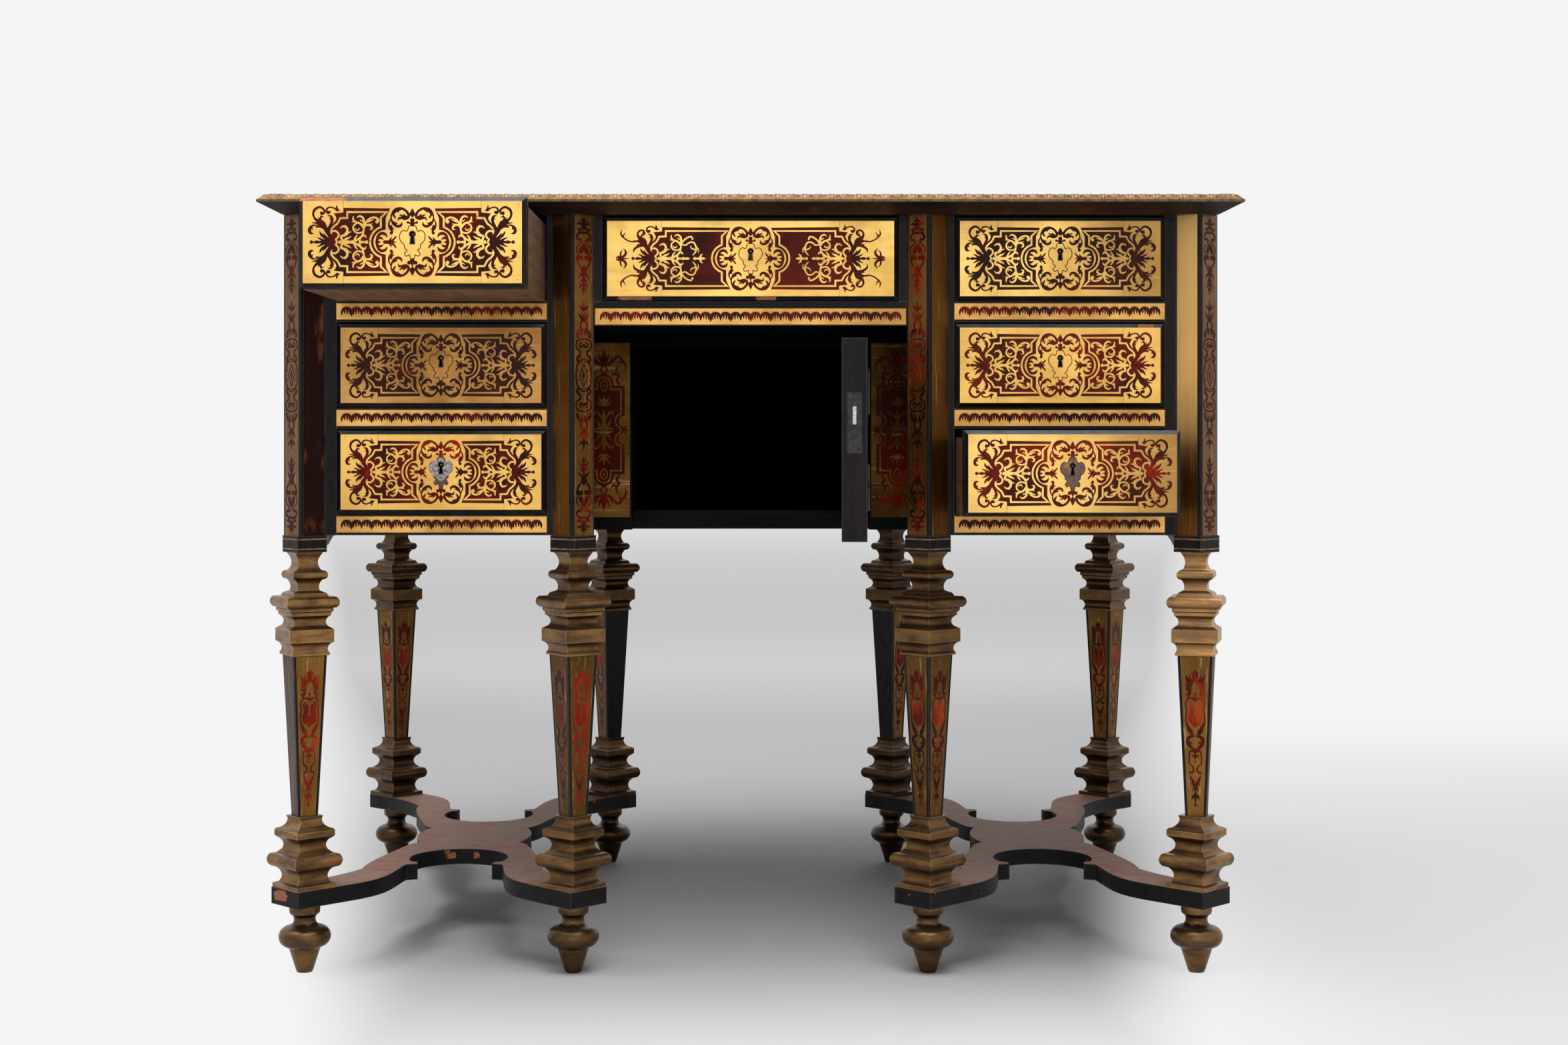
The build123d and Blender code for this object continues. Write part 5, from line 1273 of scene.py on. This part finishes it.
class BUREAU_OT_woodwork(bpy.types.Operator):
    """Ebonises the carcase, gilds the legs and oils the drawer boxes"""

    bl_idname = "bureau.woodwork"
    bl_label = "Woodwork and Metal"

    def execute(self, context):
        for look, pieces in DRESSED:
            for piece in pieces.split():
                for name in fnmatch.filter(NODES, piece):
                    made = NODES[name].data.materials
                    made.clear()
                    made.append(finishes()[look])
        return {"FINISHED"}


# which shell and brass each drawer takes, where it isn't drawer_shell and drawer_brass; dim_brass and
# shaded_brass are copies with painted shade, dim_brass with painted light towards its left end
DRAWER_LOOKS = {"left_middle": ("brown", "dim"), "right_top": ("brown", "shaded"),
                "right_bottom": ("russet", "shaded"), "right_middle": ("russet", "drawer"),
                "centre": ("russet", "drawer"), "left_bottom": ("fiery", "drawer")}


class BUREAU_OT_drawer_marquetry(bpy.types.Operator):
    """Lays the brass and shell design on the seven drawers"""

    bl_idname = "bureau.drawer_marquetry"
    bl_label = "Drawer Marquetry"

    def execute(self, context):
        narrow, wide = drawer_design(False), drawer_design(True)
        for design in (narrow, wide):
            rim = keyhole_edge(0.4)
            design.like("line", ONE_SIDE, (0, 0), 1).line([*rim, rim[0]], 0.8)
        for name in DRAWERS:
            shell, brass = DRAWER_LOOKS.get(name, ("drawer", "drawer"))
            Inlay(name + "_marquetry").lay(
                wide if name == "centre" else narrow, front_panel(name + "_facing"),
                {"shell": shell + "_shell", "brass": brass + "_brass", "line": "dark_line"}
            ).finish(name + "_drawer")
        return {"FINISHED"}


# the keyhole, mm: radius and height of its round end, how far its foot is below that, and half the foot
KEYHOLE_RADIUS, KEYHOLE_RISE, KEYHOLE_DROP, KEYHOLE_HALF = 2.5, 7.5, 8.9, 1.9


def keyhole_edge(room):
    """Outline of the keyhole, with some room round it, from the middle of a facing."""
    half, foot = KEYHOLE_HALF + room, KEYHOLE_RISE - KEYHOLE_DROP - room
    return [*arc((0, KEYHOLE_RISE), KEYHOLE_RADIUS + room, -50, 230, 12), (-half, foot), (half, foot)]


class BUREAU_OT_escutcheons(bpy.types.Operator):
    """Sets the one iron escutcheon that is left, and the bare bed of the one that is lost"""

    bl_idname = "bureau.escutcheons"
    bl_label = "Escutcheons"

    def execute(self, context):
        half = smoothed(SHIELD, 3)
        edge = half + flipped(half[1:-1])
        heart = smoothed([(0, 14.6), (2.6, 13.6), (4, 10.8), (7, 11.2), (10.9, 9.2), (12.2, 4.8),
                          (10.4, 0.4), (7.2, -3.2), (4.2, -5.4), (2.2, -8.6), (0, -9.6)], 3)
        iron = Cutting("old_glue").fill(edge, keyhole_edge(0.8)).like("escutcheon_iron")
        iron.fill(heart + flipped(heart[1:-1]), keyhole_edge(0.9))
        Inlay("iron_escutcheon").lay(
            iron, raised(front_panel("left_bottom_facing"), IRON_RISE)).finish("left_bottom_drawer", "iron")
        bare = Cutting("old_glue").fill(edge, keyhole_edge(0.8))
        bare.like("dark_line").line(half + flipped(half[:-1]), 0.9)
        Inlay("lost_escutcheon_bed").lay(
            bare, raised(front_panel("right_bottom_facing"), GLUE_RISE)).finish("right_bottom_drawer")
        toward_edge = Vector((-SWING_COS, -SWING_SIN, 0))
        right = UP.cross(toward_edge)
        pin = Vector((*DOOR_PIN, 0))
        bolt = pin + toward_edge * BOLT_END[0] - right * BOLT_END[1] + Vector((0, 0, BOLT_END[2]))
        tip = Cutting("bright_iron").fill([(-1.8, -8.6), (1.7, -8.8), (1.8, 8.7), (-1.7, 8.6)])
        Inlay("door_bolt_tip").lay(tip, on_plane(bolt, right)).finish("door", "iron")
        return {"FINISHED"}


# chips under and over the drawer fronts: the drawer, both ends in metres, 1 above or -1 below
DRAWER_CHIPS = (("left_top", -0.4205, -0.374, 1), ("centre", -0.137, -0.101, -1),
                ("centre", 0.004, 0.026, -1), ("right_middle", 0.395, 0.412, 1))
# where the left stretcher's edge is chipped: a point before it, the way to it, half the chip's width
# and height in millimetres
STRETCHER_CHIPS = (((-0.3315, -0.2), (0.0, 1.0), (4.6, 3.6)), ((-0.3063, -0.2), (0.0, 1.0), (5.4, 3.6)),
                   ((-0.5205, -0.2775), (0.714, 0.700), (11.4, 5.6)))
STRETCHER_MID_Z = 0.0795
CHIP_OFF_EDGE, CHIP_BEHIND = 0.002, 0.003  # a drawer chip's middle, from the facing's edge and front


class BUREAU_OT_losses(bpy.types.Operator):
    """Shows bare wood where veneer and slips have come away"""

    bl_idname = "bureau.losses"
    bl_label = "Lost Veneer"

    def execute(self, context):
        self.bare_faces()
        for name, x0, x1, side in DRAWER_CHIPS:
            low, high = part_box(name + "_facing")
            edge = (high if side > 0 else low)[2] + side * CHIP_OFF_EDGE
            half = (x1 - x0) / 2 / MM
            chip = Cutting("chipped_wood").fill(
                [(-half, -2.6), (half * 0.9, -2.6), (half * 0.84, -0.8), (half, 0.5), (half * 0.7, 1.3),
                 (half * 0.8, 2.6), (-half, 2.6)])
            middle = Vector(((x0 + x1) / 2, low[1] + CHIP_BEHIND, edge))
            Inlay(f"chip_{name}_{len(bpy.data.objects)}").lay(
                chip, on_plane(middle, RIGHTWARD * side, Vector((0, 1, side)).normalized())
            ).finish(name + "_drawer", "ebonised_wood")
        for number, (start, aim, (half, tall)) in enumerate(STRETCHER_CHIPS):
            found, spot, out, _ = NODES["left_stretcher"].ray_cast(
                Vector((*start, STRETCHER_MID_Z)), Vector((*aim, 0)))
            if not found:
                raise RuntimeError("no stretcher edge where a chip belongs")
            chip = Cutting("chipped_wood").fill(
                [(-half, -tall), (half * 0.8, -tall * 0.84), (half, tall * 0.16),
                 (half * 0.55, tall * 1.05), (-half * 0.4, tall * 0.88), (-half * 1.1, tall * 0.4)])
            Inlay(f"stretcher_chip_{number}").lay(
                chip, raised(on_plane(spot, UP.cross(out)), CHIP_RISE)).finish("root", "stretcher_veneer")
        return {"FINISHED"}

    @staticmethod
    def bare_faces():
        """One face of the far left post and one of each outer front shaft."""
        out = Vector((1, -1, 0)).normalized()
        right = UP.cross(out)
        post = Cutting("bare_wood").fill([(-11.6, -162.6), (11.2, -162.6), (11.6, -60), (11, 20),
                                          (11.6, 162.6), (-11.6, 162.6)])
        middle = Vector((-LEG_X_OUT, Y_FACE, Z_CARCASE + CARCASE_H / 2)) + out * POST_HALF_SIDE
        Inlay("bare_post_face").lay(post, on_plane(middle + right * POST_SHIFT, right)).finish(
            "root", "walnut")
        side = Cutting("grey_wood").fill([(-16.6, -0.6), (-9.6, -162.8), (9.6, -162.8), (9, -120),
                                          (12.6, -92), (11.4, -60), (15.4, -22), (16.6, -0.6)])
        for x, turn, name in ((-LEG_X_OUT, 209.5, "left"), (LEG_X_OUT, -16.0, "right")):
            Inlay(f"bare_shaft_{name}").lay(
                side, raised(on_taper(x, Y_FACE, compass(turn)), BARE_RISE)).finish("root", "walnut")


# how far a side strip's middle is above its rail's, the middle strip's lower edge above its rail's, and
# the scallops below their strip's middle; then the room left at both ends of a strip together
STRIP_LIFT, MID_STRIP_LIFT, SCALLOP_DROP, STRIP_END_ROOM = 0.0004, 0.001, 0.0001, 0.006


class BUREAU_OT_rail_marquetry(bpy.types.Operator):
    """Repeats the pair of scallops along the seven rails"""

    bl_idname = "bureau.rail_marquetry"
    bl_label = "Rail Marquetry"

    def execute(self, context):
        pitch = context.scene.bureau.scallop_pitch
        face_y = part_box("rail_strips")[0][1]
        rows = [(s * OPEN_MID, level - RAIL_H / 2 + STRIP_LIFT, OPEN_HALF, f"{side}_{k}")
                for k, level in enumerate(LEVELS) for s, side in ((-1, "left"), (1, "right"))]
        rows.append((0.0, LEVELS[2] - MID_RAIL_H + MID_STRIP_LIFT + STRIP_H / 2, MID_STRIP_HALF, "centre"))
        for x, z, half, name in rows:
            count = int((2 * half - STRIP_END_ROOM) // pitch)
            start = Vector((x - pitch * (count - 1) / 2, face_y, z - SCALLOP_DROP))
            Inlay(f"rail_scallops_{name}").lay(
                scallop_pair(), on_plane(start, RIGHTWARD), {"shell": "rail_shell", "line": "rail_shell"}
            ).finish("root", row=(count, (pitch, 0.0, 0.0), "rail_shell"))
        return {"FINISHED"}


class BUREAU_OT_post_marquetry(bpy.types.Operator):
    """Lays the upright design on the corner posts"""

    bl_idname = "bureau.post_marquetry"
    bl_label = "Post Marquetry"

    def execute(self, context):
        design = post_design()
        inlay = Inlay("post_marquetry")
        for x, way in ((-LEG_X_OUT, -1), (-LEG_X_IN, 1), (LEG_X_IN, -1), (LEG_X_OUT, 1)):
            out = compass(way * 45 - 90)
            right = UP.cross(out)
            middle = Vector((x, Y_FACE, Z_CARCASE + CARCASE_H / 2)) + out * POST_HALF_SIDE
            shell = "post_shell" if abs(x) < LEG_X_BETWEEN else "brown_shell"
            inlay.lay(design, on_plane(middle + right * POST_SHIFT * way, right),
                      {"shell": shell, "brass": "post_brass"})
        inlay.finish("root")
        return {"FINISHED"}


def on_taper(x, y, out):
    """place() for one face of a leg's shaft, from the shaft's top downwards."""
    right = UP.cross(out)

    def place(u, v, h):
        half = SHAFT_TOP_HALF + (SHAFT_TOP_HALF - SHAFT_FOOT_HALF) * v * MM / SHAFT_H
        return Vector((x, y, Z_UPPER + v * MM)) + out * (half + h * MM) + right * u * MM
    return place


class BUREAU_OT_shaft_marquetry(bpy.types.Operator):
    """Lays brass and shell on the four faces of every leg's shaft, but on one face less of each inner back leg
    """

    bl_idname = "bureau.shaft_marquetry"
    bl_label = "Leg Marquetry"

    def execute(self, context):
        design = shaft_design()
        for x, y, turn, _ in LEGS:
            side, place = "left" if x < 0 else "right", "front" if y < 0 else "back"
            row = "outer" if abs(x) > LEG_X_BETWEEN else "inner"
            inlay = Inlay(f"shaft_marquetry_{side}_{row}_{place}")
            for k in range(4):
                out = compass(45 + turn + 90 * k)
                bright = out.y < 0 < out.x and x < 0 and y < 0
                blackened = y > 0 and row == "inner" and out.y < 0 and out.x * x < 0
                if not blackened:
                    inlay.lay(design, on_taper(x, y, out),
                              {"shell": "vivid_shell" if bright else "shaft_shell",
                               "vivid": "vivid_shell", "ground": "shaft_brass"})
            inlay.finish("root")
        return {"FINISHED"}


# palmettes on the ends, the top and the door: place and size, then perhaps the way they point and
# whether they lie sideways
END_CRESTS = (((0, 117), 2.3), ((92, 117), 2.3))
TOP_CRESTS = (*(((u, 275), 3.3) for u in (0, 132, 264)), *(((u, 106), 4.4, 1) for u in (0, 176)),
              *(((425, v), 3, -1, True) for v in (0, 120)))
DOOR_CRESTS = (((0, 75), 1.25), ((50, 75), 1.25), ((0, 31), 1, 1), ((40, 31), 1, 1))


class BUREAU_OT_panel_marquetry(bpy.types.Operator):
    """Lays the designs of the recess, the door, the ends and the writing top"""

    bl_idname = "bureau.panel_marquetry"
    bl_label = "Panel Marquetry"

    def execute(self, context):
        low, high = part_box("flank_facings")
        flanks = Inlay("flank_marquetry")
        for s in (-1, 1):
            middle = Vector((s * (high[0] + FLANK_INNER_X) / 2, low[1], (low[2] + high[2]) / 2))
            flanks.lay(flank_design(), on_plane(middle, RIGHTWARD),
                       {"shell": "recess_shell", "vivid": "recess_shell", "brass": "shadowed_recess_brass"})
        flanks.finish("root")

        low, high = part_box("end_facings")
        ends = Inlay("end_marquetry")
        for x, out in ((low[0], -1), (high[0], 1)):
            middle = Vector((x, (low[1] + high[1]) / 2, (low[2] + high[2]) / 2))
            ends.lay(framed_design(270, 154, 2.2, END_CRESTS), on_plane(middle, BACKWARD * out),
                     {"shell": "drawer_shell", "brass": "end_brass"})
        ends.finish("root")

        low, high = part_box("top_veneer")
        middle = Vector((0, (low[1] + high[1]) / 2, high[2]))
        Inlay("top_marquetry").lay(
            framed_design(473, 323, 2.9, TOP_CRESTS, wide=True), on_plane(middle, RIGHTWARD, BACKWARD),
            {"shell": "drawer_shell", "brass": "top_brass"}).finish("root")

        low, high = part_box("door_facing")
        middle = Vector((*DOOR_FACE_MIDDLE, (low[2] + high[2]) / 2))
        Inlay("door_marquetry").lay(
            framed_design(117.4, 90, 0.84, DOOR_CRESTS),
            on_plane(middle, Vector((SWING_COS, SWING_SIN, 0))),
            {"shell": "drawer_shell", "brass": "shadowed_recess_brass"}).finish("door")
        return {"FINISHED"}


class BUREAU_OT_collar_lines(bpy.types.Operator):
    """Runs two gilt lines round the black collar of every leg"""

    bl_idname = "bureau.collar_lines"
    bl_label = "Collar Lines"

    def execute(self, context):
        pair = Cutting("gilt_line")
        reach, half_line = COLLAR_HALF / MM, 0.6
        for v in (-3.6, -13.5):
            pair.fill([(-reach, v - half_line), (reach, v - half_line), (reach, v + half_line),
                       (-reach, v + half_line)])
        lines = Inlay("collar_lines")
        for x, y, _, turn in LEGS:
            for k in range(4):
                out = compass(45 + turn + 90 * k)
                lines.lay(pair, on_plane(Vector((x, y, Z_CARCASE)) + out * COLLAR_HALF, UP.cross(out)))
        lines.finish("root", "gilt_wood")
        return {"FINISHED"}


# across the border's slope: distance from its edge, the bed's height and the crest's height, mm
BORDER_ROWS = ((1.5, 2.7, 3.3), (2.3, 3.5, 4.3), (2.9, 4.1, 4.4), (3.5, 4.6, 6.2), (4.3, 5.2, 7.4),
               (5.3, 5.9, 8.2), (6.5, 6.6, 8.6), (8, 7.05, 8.7), (9.8, 7.35, 8.8), (11.8, 7.65, 8.8),
               (13.6, 7.9, 8.8), (15.2, 8.1, 8.7))
BORDER_WIDTH, BORDER_CORNER = 0.0191, 0.0135
LEAF_COLUMNS = 24
CORNER_LEAF = 5.6  # half the length of the leaf in each corner, mm
CORNER_TAPER = 0.55  # how far a corner leaf draws back for every millimetre inward
LEAF_LEAN, LEAF_BASE = 0.4, 0.35  # how far the relief leans outward and goes down into the border, mm
REEDING_TO, LEAF_FROM, LEAF_TO = 0.1, 0.25, 0.95  # parts of the way up the slope


class BUREAU_OT_border_leaves(bpy.types.Operator):
    """Casts leaves and reeding in relief on the border of the writing top"""

    bl_idname = "bureau.border_leaves"
    bl_label = "Border Leaves"

    def execute(self, context):
        pitch = context.scene.bureau.leaf_pitch
        low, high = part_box("top_border")
        middle = Vector(((low[0] + high[0]) / 2, (low[1] + high[1]) / 2, low[2]))
        wide, deep = high[0] - low[0], high[1] - low[1]
        for name, out, across, length in (("front", (0, -1, 0), deep, wide), ("back", (0, 1, 0), deep, wide),
                                          ("left", (-1, 0, 0), wide, deep), ("right", (1, 0, 0), wide, deep)):
            out = Vector(out)
            along = UP.cross(out)
            room = length - 2 * BORDER_WIDTH
            count = round(room / 2 / pitch)
            half_pair = room / 2 / count
            start = middle + out * (across / 2) - along * half_pair * (count - 1)
            self.leaf_pair(f"border_leaves_{name}", start, along, out, half_pair / MM,
                           row=(count, tuple(2 * half_pair * along), "gilt_bronze"))
            for end, mark in ((-1, "a"), (1, "b")):
                corner = middle + out * (across / 2) + along * end * (length / 2 - BORDER_CORNER)
                self.leaf_pair(f"border_corner_{name}_{mark}", corner, along, out, CORNER_LEAF, end)
        return {"FINISHED"}

    @staticmethod
    def leaf_pair(name, start, along, out, pitch, end=0, row=None):
        """A relief patch two pitches long; its rows climb the slope, its columns run along it."""
        points, faces = [], []
        rows, wide = len(BORDER_ROWS), LEAF_COLUMNS + 1
        for carved in (True, False):
            for r, (inward, bed, crest) in enumerate(BORDER_ROWS):
                for c in range(wide):
                    u = (c / LEAF_COLUMNS * 2 - 1) * pitch
                    lift = leaf_relief(u / pitch, r / (rows - 1)) if carved else 0.0
                    height = bed + (crest - bed) * lift if carved else bed - LEAF_BASE
                    points.append(start + along * (u - end * inward * CORNER_TAPER) * MM
                                  - out * (inward - lift * LEAF_LEAN) * MM + Vector((0, 0, height)) * MM)
        under = rows * wide
        for a in (r * wide + c for r in range(rows - 1) for c in range(LEAF_COLUMNS)):
            faces.append((a, a + 1, a + wide + 1, a + wide))
            faces.append((under + a, under + a + wide, under + a + wide + 1, under + a + 1))
        rim = [*range(wide), *range(2 * wide - 1, under, wide),
               *range(under - 2, under - wide - 1, -1), *range(under - 2 * wide, 0, -wide)]
        faces += [(a, under + a, under + b, b) for a, b in zip(rim, rim[1:] + rim[:1])]
        hang(name, points, faces, ["gilt_bronze"], "root", "gilt_bronze", row=row)


def leaf_relief(u, rise):
    """How far the relief stands from bed to crest: reeding low down, then leaves up and down."""
    if rise < REEDING_TO:
        return 0.5 + 0.5 * math.cos(u * math.pi * 8)
    if rise < LEAF_FROM:
        return 0.15
    if rise > LEAF_TO:
        return 0.5
    t = (rise - LEAF_FROM) / (LEAF_TO - LEAF_FROM)
    standing = abs(u) < 0.5
    across = abs(u) * 2 if standing else (1 - abs(u)) * 2
    t = t if standing else 1 - t
    spread = 0.98 * math.sin(math.pi * (0.15 + 0.8 * t)) ** 0.5
    lobes = 0.5 + 0.5 * math.cos(across * 11 + t * 6)
    inside = max(0.0, 1 - (across / max(spread, 0.05)) ** 4)
    return inside * (0.3 + 0.7 * lobes)


PIECES = (BUREAU_OT_stage, BUREAU_OT_woodwork, BUREAU_OT_drawer_marquetry, BUREAU_OT_escutcheons,
          BUREAU_OT_border_leaves, BUREAU_OT_collar_lines, BUREAU_OT_losses, BUREAU_OT_rail_marquetry,
          BUREAU_OT_post_marquetry, BUREAU_OT_shaft_marquetry, BUREAU_OT_panel_marquetry)


class BUREAU_PT_panel(bpy.types.Panel):
    """Lists the steps that dress the desk"""

    bl_idname = "BUREAU_PT_panel"
    bl_label = "Bureau Mazarin"
    bl_space_type = "VIEW_3D"
    bl_region_type = "UI"
    bl_category = "Bureau"

    def draw(self, context):
        for name in BureauFinishSettings.__annotations__:
            self.layout.prop(context.scene.bureau, name)
        for piece in PIECES:
            self.layout.operator(piece.bl_idname)


CLASSES = (BureauFinishSettings, *PIECES, BUREAU_PT_panel)


def register():
    for each in CLASSES:
        bpy.utils.register_class(each)
    bpy.types.Scene.bureau = bpy.props.PointerProperty(type=BureauFinishSettings)


def unregister():
    del bpy.types.Scene.bureau
    for each in reversed(CLASSES):
        bpy.utils.unregister_class(each)


def main():
    register()
    for piece in PIECES:
        group, name = piece.bl_idname.split(".")
        getattr(getattr(bpy.ops, group), name)()


if __name__ == "__main__":
    main()
